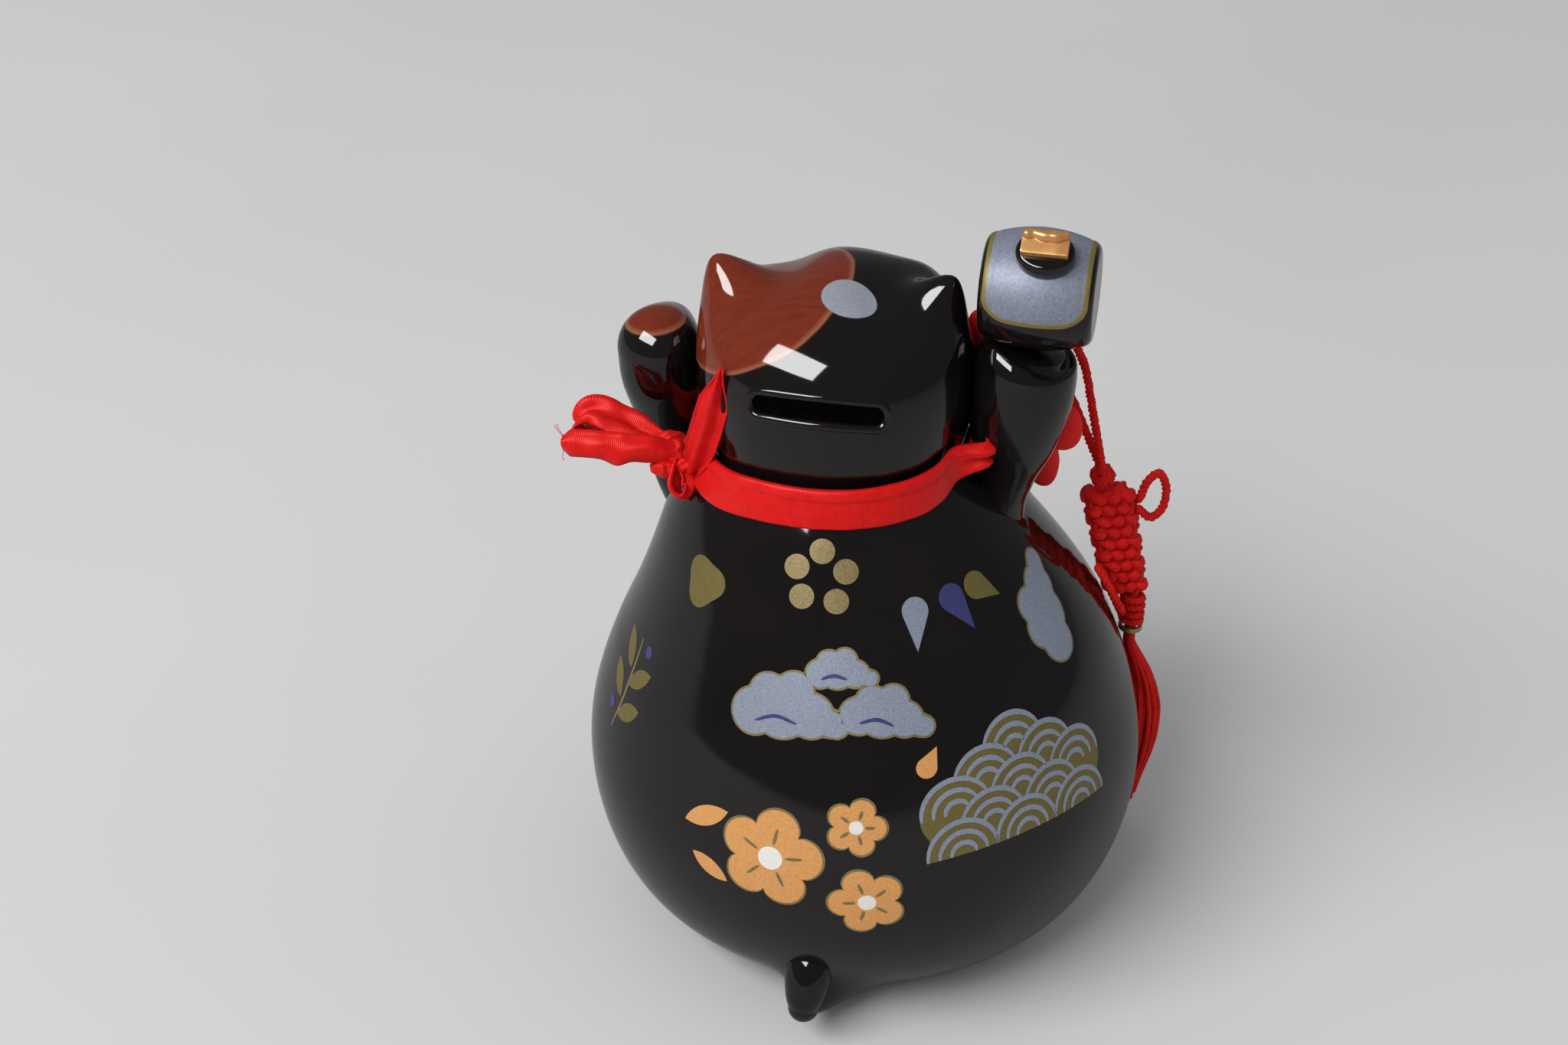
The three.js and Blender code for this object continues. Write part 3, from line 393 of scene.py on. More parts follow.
def glaze():
    """Black glaze with the brown patch over the left ear, one on the paw and the silver spot."""
    finish = Finish("black_glaze", 0.06, IOR=1.52)
    place = finish.place()
    waver = finish.math("MULTIPLY", finish.math("SUBTRACT", finish.noise(60, 2), 0.5), 0.0014)

    def from_spot(centre):
        return finish.vector("SUBTRACT", place, TO_FRAME @ Vector(centre))

    def past_edge(on_edge, facing):
        return finish.math("ADD", finish.vector("DOT_PRODUCT", from_spot(on_edge), facing), waver)

    paw_start = (TO_FRAME @ Vector((40.8, 0, 0))).x
    on_paw = finish.math("GREATER_THAN", finish.parts(place)[0], paw_start)
    reach = finish.blend(on_paw, past_edge((14.0, 14.6, 169.9), (0.517, 0.084, 0.852)),
                         past_edge((51.4, -2, 157.2), (0.12, 0, 0.99)))
    patch = finish.between(reach, -0.0002, 0.0002)
    rim = finish.math("MULTIPLY", finish.between(reach, 0.001, 0.0001), patch)
    brushed = {"Vector": place, "Rotation": (0.3, 0.5, 0.4), "Scale": (1, 5, 1)}
    streaks = finish.noise(170, 5, finish.node("Mapping", brushed).outputs[0])
    brown = finish.mix(finish.math("MULTIPLY", rim, 0.5), finish.ramp(streaks, BROWN_TONES), BROWN_RIM)
    colour = finish.mix(patch, finish.ramp(finish.noise(35, 4), BLACK_TONES), brown)
    spot_radii = (6.6, 6.2, 6)
    spot_reach = finish.vector("MULTIPLY", from_spot((3.7, 9.5, 176.2)), [1000 / r for r in spot_radii])
    spot = finish.between(finish.vector("LENGTH", spot_reach), 1.02, 0.98)
    finish.set("Base Color", finish.mix(spot, colour, finish.ramp(finish.noise(1600, 2), SPOT_TONES)))
    finish.set("Roughness", finish.blend(finish.noise(220, 3), 0.03, 0.09))
    finish.bump(finish.noise(55, 2), 0.05, 0.0006)
    return finish.material


def barrel_lustre():
    """Black glaze with the silver panel and its gold line, laid out on the unrolled drum."""
    finish = Finish("barrel_lustre", 0.1)
    half_across, half_round, corner = 0.0118, 0.0172, 0.0058
    parts = finish.parts(finish.vector("SUBTRACT", finish.place(), TO_FRAME @ BARREL_CENTRE))
    turn = finish.math("SUBTRACT", finish.math("ARCTAN2", parts[2], parts[1]), radians(62))
    past_x, past_y = (
        finish.math("MAXIMUM", finish.math("SUBTRACT", finish.math("ABSOLUTE", way), half - corner), 0)
        for way, half in ((parts[0], half_across),
                          (finish.math("MULTIPLY", turn, BARREL_RADIUS / 1000), half_round)))
    past_corner = finish.math("SQRT", finish.weighted(past_x, past_x, past_y, past_y))
    edge = finish.math("SUBTRACT", past_corner, corner)
    panel = finish.between(edge, 0.00012, -0.00012)
    inside_line = finish.between(edge, -0.0009, -0.0012)
    bordered = finish.mix(inside_line, PANEL_LINE, finish.ramp(finish.noise(1500, 3), PANEL_TONES))
    finish.set("Base Color", finish.mix(panel, finish.ramp(finish.noise(60, 3), BLACK_TONES), bordered))
    finish.set("Roughness", finish.blend(panel, 0.07, 0.52))
    finish.set("Metallic", finish.blend(panel, 0.0, 0.2))
    finish.bump(finish.noise(2400, 2), 0.06, 0.00008)
    return finish.material


def grained(name, stops, grain, relief, roughness, uneven=None, metallic=0.0):
    """A plain finish: colours in a grain, a relief and, where given, an uneven gloss.

    Each is a noise given as scale and detail; a relief then gives its strength and depth in metres, and an
    uneven gloss its least and greatest roughness.
    """
    finish = Finish(name, roughness, metallic)
    finish.set("Base Color", finish.ramp(finish.noise(*grain), stops))
    finish.bump(finish.noise(*relief[:2]), *relief[2:])
    if uneven:
        finish.set("Roughness", finish.blend(finish.noise(*uneven[:2]), *uneven[2:]))
    return finish.material


def lustre(name, dark, light, metallic, roughness):
    """A fired print with the fine sparkle of mica."""
    return grained(name, tones((0.25, *dark), (0.78, *light)), (2600, 3), (3200, 2, 0.08, 0.00006),
                   roughness, (3000, 2, roughness - 0.08, roughness + 0.1), metallic)


def satin():
    """Red satin ribbon, ribbed across its length on its own UV map in millimetres."""
    rib_pitch, warp_pitch = 0.46, 0.24
    finish = Finish("satin_ribbon", 0.36, Sheen_Weight=0.15, Sheen_Roughness=0.35,
                    Sheen_Tint=rgb(240, 60, 50), Specular_IOR_Level=0.5, Specular_Tint=rgb(255, 130, 120))
    weave = finish.node("UVMap", uv_map="weave").outputs[0]
    parts = finish.parts(weave)
    slipped = finish.weighted(parts[0], 1, finish.noise(1.1, 2, weave), 0.35)
    rib = finish.math("SINE", finish.math("MULTIPLY", slipped, FULL_TURN / rib_pitch))
    warp = finish.math("SINE", finish.math("MULTIPLY", parts[1], FULL_TURN / warp_pitch))
    thread = finish.weighted(rib, 0.4, warp, 0.14)
    shade = finish.weighted(thread, 0.35, finish.blend(finish.noise(0.5, 3, weave), 0.36, 0.74), 1)
    reds = tones((0.25, 190, 14, 16), (0.55, 216, 20, 22), (0.85, 230, 44, 40))
    finish.set("Base Color", finish.ramp(shade, reds))
    finish.set("Roughness", finish.blend(rib, 0.3, 0.42))
    finish.bump(thread, 0.3, 0.00012)
    return finish.material


def crepe():
    """The matte red cloth of the padded bow."""
    finish = Finish("padded_fabric", 0.9, Sheen_Weight=0.25, Sheen_Roughness=0.5,
                    Sheen_Tint=rgb(230, 60, 50))
    grain = finish.node("TexVoronoi", {"Vector": finish.place(), "Scale": 2200.0}).outputs["Distance"]
    reds = tones((0.25, 210, 18, 18), (0.55, 236, 26, 25), (0.8, 244, 46, 42))
    finish.set("Base Color", finish.ramp(finish.weighted(grain, 0.4, finish.noise(140, 4), 0.6), reds))
    finish.bump(grain, 0.35, 0.00025)
    return finish.material


def red_yarn():
    """Dull silky yarn with fine fibres."""
    reds = tones((0.3, 172, 12, 9), (0.52, 214, 18, 14), (0.75, 230, 34, 27))
    finish = Finish("red_cord", 0.72, Sheen_Weight=0.12, Sheen_Roughness=0.4, Sheen_Tint=reds[-1][1],
                    Specular_IOR_Level=0.2)
    fibres = finish.noise(2600, 4)
    finish.set("Base Color", finish.ramp(finish.weighted(fibres, 0.6, finish.noise(260, 3), 0.4), reds))
    finish.bump(fibres, 0.4, 0.0002)
    return finish.material


GLAZE = glaze()
BARREL_FINISH = barrel_lustre()
SATIN = satin()
CREPE = crepe()
RED_CORD = red_yarn()
METAL_THREAD = lustre("metal_thread", (150, 128, 86), (214, 196, 150), 0.85, 0.32)
CLAY = grained("bare_clay", tones((0.3, 196, 186, 170), (0.7, 222, 214, 200)),
               (400, 5), (1500, 4, 0.25, 0.0002), 0.85)
GILT = grained("gilt", tones((0.3, 196, 136, 78), (0.7, 230, 176, 112)),
               (220, 4), (420, 3, 0.05, 0.0003), 0.2, (500, 3, 0.2, 0.32), 0.5)
PLUG = grained("soft_plug", tones((0.3, 204, 200, 190), (0.7, 222, 218, 210)),
               (160, 4), (900, 3, 0.15, 0.0002), 0.55)


# Camera.

def set_camera():
    camera = placed("camera", bpy.data.cameras.new("camera"))
    camera.data.lens = 59.77
    camera.data.sensor_width = 36
    camera.location = TO_FRAME @ Vector((-86.88, 507.31, 468.50))
    camera.rotation_euler = (radians(55), 0, radians(192))
    bpy.context.scene.camera = camera


set_camera()


# Tassel cord: up from the button knot, round the handle's stub and down again.

BUTTON = Vector((PIVOT_RADIUS + 9.5, 0, PIVOT_HEIGHT - 31.5))
BUTTON_RADIUS = 3.4


def cord_route():
    peg = on_handle(0, 0, -BARREL_RADIUS - HANDLE_STUB * 0.45)
    clear = HANDLE_RADIUS + CORD / 2 + 4 * FIT_GAP
    front = peg + clear * Vector((0, -cos(HANDLE_TILT), sin(HANDLE_TILT)))
    half, parted = STRAND_SPACING / 2, 0.9 * STRAND_SPACING
    far = on_tassel(PIVOT_RADIUS + parted, -half, PIVOT_HEIGHT + FIT_GAP)
    near = on_tassel(PIVOT_RADIUS - parted, half, PIVOT_HEIGHT + FIT_GAP)

    def strand(offset, share):
        start = Vector((PIVOT_RADIUS + 0.4 - 1.8 * offset, offset, PIVOT_HEIGHT - CORD / 2 - FIT_GAP))
        end = Vector((BUTTON.x - 0.6, offset * 0.9, BUTTON.z + BUTTON_RADIUS - 0.6))
        return on_tassel(*start.lerp(end, share))

    return [
        strand(-half, 1), strand(-half, 0.66), strand(-half, 0.33),
        far,
        far.lerp(peg, 0.35) + Vector((-1.5, -2.4, 0.5)),
        peg + Vector((-clear - 0.3, -2, 0)),
        front + Vector((-clear * 0.55, 0, 0.6)),
        front + Vector((clear * 0.55, 0, 0.6)),
        peg + Vector((clear + 0.3, -4, -1)),
        peg + Vector((clear * 0.4, -8.2, -6)),
        near.lerp(peg, 0.35) + Vector((-0.5, -6, -1.5)),
        near,
        strand(half, 0.33), strand(half, 0.66), strand(half, 1),
    ]


def tassel_cord(pieces_on_it):
    path = smooth(cord_route(), 150)
    cord = set_down(bars(twisted(path, CORD), 6), "tassel_cord", [RED_CORD], body=None,
                    nodes=("hanging_loop", "strand_near", "strand_far"))
    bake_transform(cord)


# Tassel.

BLOCK_TOP = BUTTON.z - BUTTON_RADIUS - FIT_GAP
BLOCK_LENGTH, BLOCK_WIDTH, BLOCK_THICKNESS = 31.5, 12.6, 7.6
BLOCK_BOTTOM = BLOCK_TOP - BLOCK_LENGTH
WINDING_TURNS, WINDING_CORD, WINDING_PITCH, CORE_RADIUS = 4, 1.6, 2.25, 1.4
SKIRT_TOP = BLOCK_BOTTOM - FIT_GAP
NECK_FOOT = SKIRT_TOP - WINDING_TURNS * WINDING_PITCH - WINDING_CORD - 2 * FIT_GAP
BAND_TURNS, BAND_HEIGHT, BAND_RADII, BAND_THREAD = 4, 1.6, (2.35, 2.85), 0.26
NECK_OUT = body_radius(NECK_FOOT - BAND_HEIGHT) + CORE_RADIUS + 2 * FIT_GAP + WINDING_CORD
SKIRT_LENGTH, SKIRT_WIDTH, SKIRT_DEPTH, SKIRT_STRANDS = 60, 12, 10, 44
GOLDEN_TURN = 2.399963


def of_cord(shape, name, node):
    return set_down(shape, name, [RED_CORD], "tassel", (node,))


def block_place(share, across, out):
    """A place in the woven knot: share down its length, across its width, out of its face."""
    head, foot, narrowing = BUTTON.x + 1.4, NECK_OUT - 2.3, 0.2
    narrowed = across * (1 - narrowing * share)
    return on_tassel(head + (foot - head) * share + narrowed, out, BLOCK_TOP - BLOCK_LENGTH * share)


def button_knot():
    """A round knot of four rings of cord, one level and three tilted."""
    ring_radius, swell, thick, lay = 2.15, 0.22, 2.3, 3.6
    lines = []
    for tilt, turn in ((0, 0), (62, 10), (62, 130), (62, 250)):
        ring = Matrix.Rotation(radians(turn), 3, "Z") @ Matrix.Rotation(radians(tilt), 3, "X")
        loop = []
        for a in np.linspace(0, FULL_TURN, 37):
            radius = ring_radius + swell * cos(3 * a)
            loop.append(on_tassel(*(BUTTON + ring @ Vector((radius * cos(a), radius * sin(a), 0)))))
        lines += twisted(loop, thick, lay)
    return of_cord(bars(lines, 6), "woven_button", "button_knot")


def woven_knot():
    """A flat knot of cord: staggered humps on both faces, and turns round its edges."""
    rows, columns, stagger = 9, 3, 0.25
    hump_radius, hump_reach, hump_dip, hump_slant = 1.5, 1.5, 2.6, 0.7
    turn_radius, turn_reach, turn_dip = 1.3, 2.6, 1.4
    steps = np.linspace(-1, 1, 9)

    def hump(face, row, column):
        shift = stagger if row % 2 else -stagger
        across = ((column + 0.5 + shift) / columns - 0.5) * (BLOCK_WIDTH - 1.6)
        slant = hump_slant if (row + column) % 2 else -hump_slant
        line = []
        for step in steps:
            rise = BLOCK_THICKNESS / 2 - hump_radius - hump_dip * step * step
            share = (row + 0.5) / rows + slant * step / BLOCK_LENGTH
            place = block_place(share, (across + hump_reach * step) * face, face * rise)
            line.append([*place, hump_radius * (1 - 0.2 * step * step)])
        return np.array(line)

    def edge_turn(side, row):
        share = np.clip((row + 0.5 + stagger * side) / rows, 0.04, 0.96)
        out = BLOCK_WIDTH / 2 - turn_radius
        turn = []
        for step in steps:
            turn.append(block_place(share, side * (out - turn_dip * step * step), turn_reach * step))
        return even_line(turn, turn_radius)

    lines = [hump(face, row, column) for face in (1, -1) for row in range(rows) for column in range(columns)]
    lines += [edge_turn(side, row) for side in (1, -1) for row in range(rows)]
    core = made(bmesh.ops.create_cube, size=1)
    for vert in core.verts:
        x, y, z = vert.co
        vert.co = block_place(0.5 - 0.94 * z, x * (BLOCK_WIDTH - 3), y * (BLOCK_THICKNESS - 3.8))
    rounded(core, 0.8)
    bmesh.ops.recalc_face_normals(core, faces=core.faces)
    of_cord(added(bars(lines, 10), core), "woven_cord_knot", "woven_knot")


def standing_loop(points, name, node):
    path = smooth(points, 60)
    loop = of_cord(bars(twisted(path, CORD), 6), name, node)


def standing_loops():
    root = block_place(0.1, BLOCK_WIDTH / 2 + CORD / 2 + 3 * FIT_GAP, 0)
    out = on_tassel(1, 0, 0)
    upper = [(-1.2, -4.2), (0, -4.6), (3.2, -7.6), (6.2, -5), (6.6, 1), (4.4, 5.4), (1.4, 3.2), (0, -1),
             (-1.2, -1.6)]
    points = [root + out * x + Vector((0, 0, z)) for x, z in upper]
    standing_loop(points, "standing_loop_upper", "knot_loop_upper")
    height = BLOCK_TOP - 0.8 * BLOCK_LENGTH
    near, clear = -BLOCK_THICKNESS / 2 - CORD / 2 - FIT_GAP, CORD / 2 + 2 * FIT_GAP
    lower = [(1.2, 2.4), (0, 3), (-1.6, 6.4), (-4.6, 6), (-5.6, 0), (-4.4, -6), (-1.4, -6), (0, -2),
             (1.2, -1)]
    points = [on_tassel(body_radius(height + z) + clear, near + y, height + z) for y, z in lower]
    standing_loop(points, "standing_loop_lower", "knot_loop_lower")


def coil(radius, turns, steps, top, pitch):
    """A path wound down round the tassel's neck, with so many steps to a turn."""
    path = []
    for i in range(turns * steps + 1):
        a = FULL_TURN * i / steps
        path.append(on_tassel(NECK_OUT + radius * cos(a), radius * sin(a), top - pitch * i / steps))
    return path


def neck_winding():
    path = coil(CORE_RADIUS + FIT_GAP + WINDING_CORD / 2, WINDING_TURNS, 30,
                SKIRT_TOP - FIT_GAP - WINDING_CORD / 2, WINDING_PITCH)
    of_cord(bars(twisted(path, WINDING_CORD + 0.5, 3.2), 6), "neck_cord", "neck_winding")


def thread_band():
    pitch = (BAND_HEIGHT - 0.4) / BAND_TURNS
    lines = [even_line(coil(radius, BAND_TURNS, 24, NECK_FOOT - 0.2 + 0.15 * layer, pitch), BAND_THREAD)
             for layer, radius in enumerate(BAND_RADII)]
    set_down(bars(lines, 6), "metal_band", [METAL_THREAD], "tassel", ("metal_thread_band",))


def skirt():
    """Loose strands that hang from the neck and lie on the belly."""
    flare_top = NECK_FOOT - BAND_HEIGHT - FIT_GAP
    core_depth, core_width, tuck, tip_narrowing = 2 * CORE_RADIUS, 2 * CORE_RADIUS + 1, 3, 0.45
    lines = []
    for i in range(SKIRT_STRANDS):
        spread = sqrt((i + 0.5) / SKIRT_STRANDS)
        bearing = i * GOLDEN_TURN
        sway, curl = chance.uniform(-1, 1), chance.uniform(-1, 1)
        length = SKIRT_LENGTH * chance.uniform(0.86, 1)
        thick = chance.uniform(0.62, 0.78)
        line = []
        for share in np.linspace(0, 1, 26):
            height = SKIRT_TOP + (flare_top - length - SKIRT_TOP) * share
            fall = max(0, (flare_top - height) / SKIRT_LENGTH)
            opened = smoothstep(fall, 0, 0.45)
            depth = core_depth + (SKIRT_DEPTH - core_depth) * opened
            width = core_width + (SKIRT_WIDTH - core_width) * opened
            narrow = 1 - tip_narrowing * smoothstep(fall, 0.55, 1)
            out = NECK_OUT
            if fall > 0:
                out = max(NECK_OUT, body_radius(max(height, BELLY_HEIGHT)) + depth / 2 + 0.9)
                out -= tuck * smoothstep(fall, 0.5, 1)
            x = out + spread * cos(bearing) * (depth / 2 - thick) * narrow
            y = spread * sin(bearing) * (width / 2 - thick) * narrow
            wave = 0.5 * sway * sin(5 * fall + 3 * curl) + 0.35 * curl * sin(11 * fall + sway)
            wave *= opened
            line.append([*on_tassel(x + 0.3 * wave, y + wave, height), thick * (1 - 0.25 * share ** 6)])
        lines.append(np.array(line))
    of_cord(bars(lines, 6), "skirt_strands", "tassel_skirt")


tassel_cord([button_knot()])
woven_knot()
standing_loops()
neck_winding()
thread_band()
skirt()


# Glazed figure.

def glazed(shape, name, *nodes):
    set_down(shape, name, [GLAZE], nodes=nodes)


# Ears: where each stands on the head, the way it points, its height and its depth from front to back.
EARS = [(Vector((33.3, 0, 169.5)), Vector((0.46, 0, 0.888)), 9.2, 6.8),
        (Vector((-13.8, 3, 168.6)), Vector((-0.4, 0, 0.917)), 10.4, 5.6)]
EAR_WIDTH, EAR_HOLLOW, EARS_FROM = 8.2, 0.9, 150
# Dips beside the ears: the middle of each, how deep it is, below 0 a rise, and its reach to front and back.
EAR_DIPS = [(Vector((22, -8, 174)), 3.4, 18), (Vector((-4, 5, 174)), 2.8, 9),
            (Vector((-11, -19, 168)), -2.2, 12)]
DIP_WIDTH = 7
SIDES = (-1, 1)
FOOT_PADS = [(Vector((20 * side, 4 - body_radius(9.5), 8)), Vector((13, 17, 9.5))) for side in SIDES]
MUZZLE = [(Vector((HEAD_OFFSET + 6.5 * side, -28.5, 147)), Vector((9, 6.75, 6.75))) for side in SIDES]
NOSE = (Vector((HEAD_OFFSET, -31, 151.6)), Vector((3.2, 3.2, 2.4)))
TAIL_FOOT, TAIL_WEB, WEB_LEFT, WEB_RIGHT, WEB_RISE = Vector((0.8, 0, 8)), 12, 5.8, 9.6, 7.5
FORM_BLEND, SHELL_STEPS, BARE_BELOW = 0.7, 176, 0.4
# How far outside the skin a place starts that is cast onto it.
CAST_FROM = 14


def drawn_ear(place, root, way, height, depth):
    """How far a place on the skin is drawn out into an ear: a peak with hollow flanks."""
    offset = place - root
    offset -= way * offset.dot(way)
    along = hypot(offset.x, offset.z)
    return way * (height * exp(-((along / EAR_WIDTH) ** 2 + (offset.y / depth) ** 2) ** EAR_HOLLOW))


def pressed_out(place, centre, radii):
    """A place on the skin, moved straight out from the axis where a rounded form stands proud of it."""
    axis = Vector((lean(place.z), 0, place.z))
    way = place - axis
    start = Vector([(a - c) / r for a, c, r in zip(axis, centre, radii)])
    step = Vector([w / r for w, r in zip(way, radii)])
    half = start.dot(step)
    inside = half * half - step.dot(step) * (start.dot(start) - 1)
    if inside <= 0:
        return place
    leave = (sqrt(inside) - half) / step.dot(step)
    soft = FORM_BLEND / way.length
    return axis + way * ((1 + leave + sqrt((1 - leave) ** 2 + soft * soft)) / 2 - soft * soft / 2)


def skin_forms(place):
    """A place on the plain spun skin, moved to where ears, tail, feet and muzzle have it."""
    moved = place.copy()
    if place.z > EARS_FROM:
        for ear in EARS:
            moved += drawn_ear(place, *ear)
        for middle, depth, reach in EAR_DIPS:
            offset = place - middle
            moved.z -= depth * bell(offset.x, DIP_WIDTH) * bell(offset.y, reach)
    if place.y > 30 and place.z < 30:
        offset = place - TAIL_FOOT
        reach = WEB_LEFT if offset.x > 0 else WEB_RIGHT
        moved.y += TAIL_WEB * bell(offset.x, reach) * bell(offset.z, WEB_RISE)
    if place.y < -10:
        for form in (*FOOT_PADS, *MUZZLE, NOSE):
            moved = pressed_out(moved, *form)
    return moved


def dome_heights(turns):
    return HEAD_WIDEST + (HEAD_TOP - HEAD_WIDEST) * np.sin(turns)


def shell_profile():
    """The shell's outline as radius and height: down the inside, across the base and up the outside."""
    foot = BODY_OUTLINE[0][0]
    crown = [(max(0, head_radius(h) - WALL), h - WALL) for h in dome_heights(np.linspace(QUARTER, 0, 16))]
    inner = [(0, HEAD_TOP - WALL), *crown[1:]]
    inner += [(body_radius(h) - WALL, h) for h in np.linspace(144, BASE_TOP, 34)]
    base = [(PLUG_RADIUS, BASE_TOP), (PLUG_RADIUS, FOOT_RECESS), (RECESS_RADIUS, FOOT_RECESS),
            (RECESS_RADIUS, 0.5), (RECESS_RADIUS + 0.5, 0), (foot - 1.6, 0), (foot - 0.4, 0.3)]
    outer = [(r, h) for r, h in outline_rows(116) if h > 0.9]
    cheeks = np.linspace(NECK_HEIGHT + 1.2, HEAD_WIDEST - 1, 14)
    dome = dome_heights(np.linspace(0, QUARTER, 44))[:-1]
    outer += [(head_radius(h), h) for h in (*cheeks, *dome)]
    return inner + base + outer + [(0, HEAD_TOP)]


def tail_tip():
    """The tail: a drooping thumb over the web that the skin draws out to it."""
    points = [(0.4, 50, 26, 4.6), (0.8, 57, 24, 5.2), (1.2, 62.6, 20.4, 6), (1.6, 66.2, 15, 5),
              (1.8, 67.4, 11.4, 3.8)]
    line = smooth(points, 50)
    return bars([round_ended(line, (0.03, 0.25, -0.97), line[-1][3], 0.1, 16)], 40)


def slot_bar():
    """The bar that cuts the slot, tilted up so that a coin slides down into the head."""
    segments, start, length = 48, -12, 26
    half = SLOT_LENGTH / 2 - SLOT_HEIGHT / 2
    bar = made(bmesh.ops.create_circle, cap_ends=True, segments=segments, radius=SLOT_HEIGHT / 2)
    half_step = Matrix.Rotation(pi / segments, 3, "Z")
    for vert in bar.verts:
        x, z, _ = half_step @ vert.co
        vert.co = (x + copysign(half, x), start, z)
    pushed = bmesh.ops.extrude_face_region(bar, geom=bar.faces[:])["geom"]
    far_end = [part for part in pushed if isinstance(part, bmesh.types.BMVert)]
    bmesh.ops.translate(bar, vec=(0, length, 0), verts=far_end)
    bmesh.ops.transform(bar, matrix=Matrix.Translation(SLOT_CENTRE) @ SLOT_TURN, verts=bar.verts)
    bmesh.ops.recalc_face_normals(bar, faces=bar.faces)
    return bar


def cut_by(piece, bar):
    """Takes a bar's shape out of a piece, and settles the result in its mesh."""
    cutter = set_down(bar, "cutter", [], body=None)
    cut = piece.modifiers.new("slot", "BOOLEAN")
    cut.operation, cut.object, cut.solver = "DIFFERENCE", cutter, "EXACT"
    mesh = settled(piece)
    piece.modifiers.clear()
    old = piece.data
    piece.data = mesh
    bpy.data.meshes.remove(old)
    bpy.data.objects.remove(cutter)


def glazed_figure():
    """Makes the cast shell with its slot and tail, and gives back its skin as it was before the slot."""
    shape = spun(shell_profile(), SHELL_STEPS)
    for face in shape.faces:
        middle = face.calc_center_median()
        radius = hypot(middle.x, middle.y)
        within = radius < body_radius(middle.z) - WALL / 2 and middle.z < HEAD_TOP - WALL / 2
        face.material_index = 1 if within or middle.z < BARE_BELOW else 0
    for vert in shape.verts:
        place = vert.co.copy()
        radius = hypot(place.x, place.y)
        outside = radius > body_radius(place.z) - 1 or place.z > HEAD_TOP - 1
        place.y *= depth_share(place.z)
        place.x += lean(place.z)
        vert.co = skin_forms(place) if outside and place.z > 0.2 else place
        vert.co.z = max(vert.co.z, 0)
    softened(shape)
    skin = BVHTree.FromBMesh(shape)
    figure = set_down(shape, "glazed_figure", [GLAZE, CLAY], nodes=("body_casting",))
    cut_by(figure, slot_bar())
    figure.data.set_sharp_from_angle(angle=radians(38))
    glazed(tail_tip(), "tail")
    return skin


def slot_lip():
    """The soft rim of glaze round the coin slot."""
    half, rim, thick, sunk = SLOT_LENGTH / 2 - SLOT_HEIGHT / 2, SLOT_HEIGHT / 2 + 0.5, 1.15, 0.65
    turn = SLOT_TURN.to_3x3()
    path = []
    for a in np.linspace(0, FULL_TURN, 97):
        x = half * max(-1, min(1, 3 * cos(a))) + rim * cos(a)
        outside = SLOT_CENTRE + turn @ Vector((x, CAST_FROM, rim * sin(a)))
        found, facing, _, _ = SKIN.ray_cast(outside, turn @ Vector((0, -1, 0)))
        path.append(found - facing * sunk)
    glazed(bars([even_line(path, thick)], 14), "slot_lip")


def left_arm():
    """The raised arm, with a paw that is fuller on its front."""
    points = [(38.65, -4, 107, 12), (46, -5.2, 114.5, 8.4), (49, -6, 121, 7), (50.4, -5.4, 127, 6.8),
              (51, -4, 136, 8.6), (51.3, -2.8, 143, 9.7), (51.4, -2, 150.5, 9.9)]
    shape = bars([round_ended(smooth(points, 60), (0, 0, 1), 9.7, 0.05, 26)], 56)
    palm, palm_depth, wrist = Vector((51.4, -8.8, 150)), 7.4, 132
    for vert in shape.verts:
        offset = vert.co - palm
        if vert.co.z > wrist:
            vert.co.y -= palm_depth * bell(offset.x, 8) * bell(offset.z, 7.4) * smoothstep(-offset.y, -4, 3)
    glazed(shape, "raised_left_arm", "left_arm_casting")


def right_arm():
    points = [(-27.4, -4, 107, 11), (-29.8, -3, 117, 7.4), (-31.6, -2, 126.4, 7.6), (-33.4, -1, 138, 10.4),
              (-35, 0, 150.3, 11.9), (-35.3, 0.3, 159.8, 11.6), (-36.2, 0.3, 163.2, 8.2)]
    glazed(bars([smooth(points, 90)], 56), "mallet_arm", "right_arm_casting")


SKIN = glazed_figure()
slot_lip()
left_arm()
right_arm()


# Mallet.

BOSS_SHIFT, BOSS_OVAL, BOSS_HEIGHT = Vector((-1.4, -0.4, 0)), 0.82, 3
SEAT = BARREL_RADIUS + FIT_GAP


def barrel():
    half, rounding = BARREL_LENGTH / 2, 2.4
    rim = BARREL_END - rounding
    upper = [(rim + rounding * sin(a) - 0.1, half - rounding + rounding * cos(a))
             for a in np.linspace(QUARTER, 0, 9)]
    upper += [(rim - 1, half), (0, half)]
    belly = [(BARREL_RADIUS + (BARREL_END - BARREL_RADIUS) * t * t, t * (half - rounding))
             for t in np.linspace(-1, 1, 33)[1:-1]]
    lower = [(radius, -height) for radius, height in reversed(upper)]
    drum = spun(lower + belly + upper, 96)
    lying = Matrix.Translation(BARREL_CENTRE) @ Matrix.Rotation(QUARTER, 4, "Y")
    bmesh.ops.transform(drum, matrix=lying, verts=drum.verts)
    set_down(softened(drum, 50), "mallet_drum", [BARREL_FINISH], nodes=("mallet_barrel",))


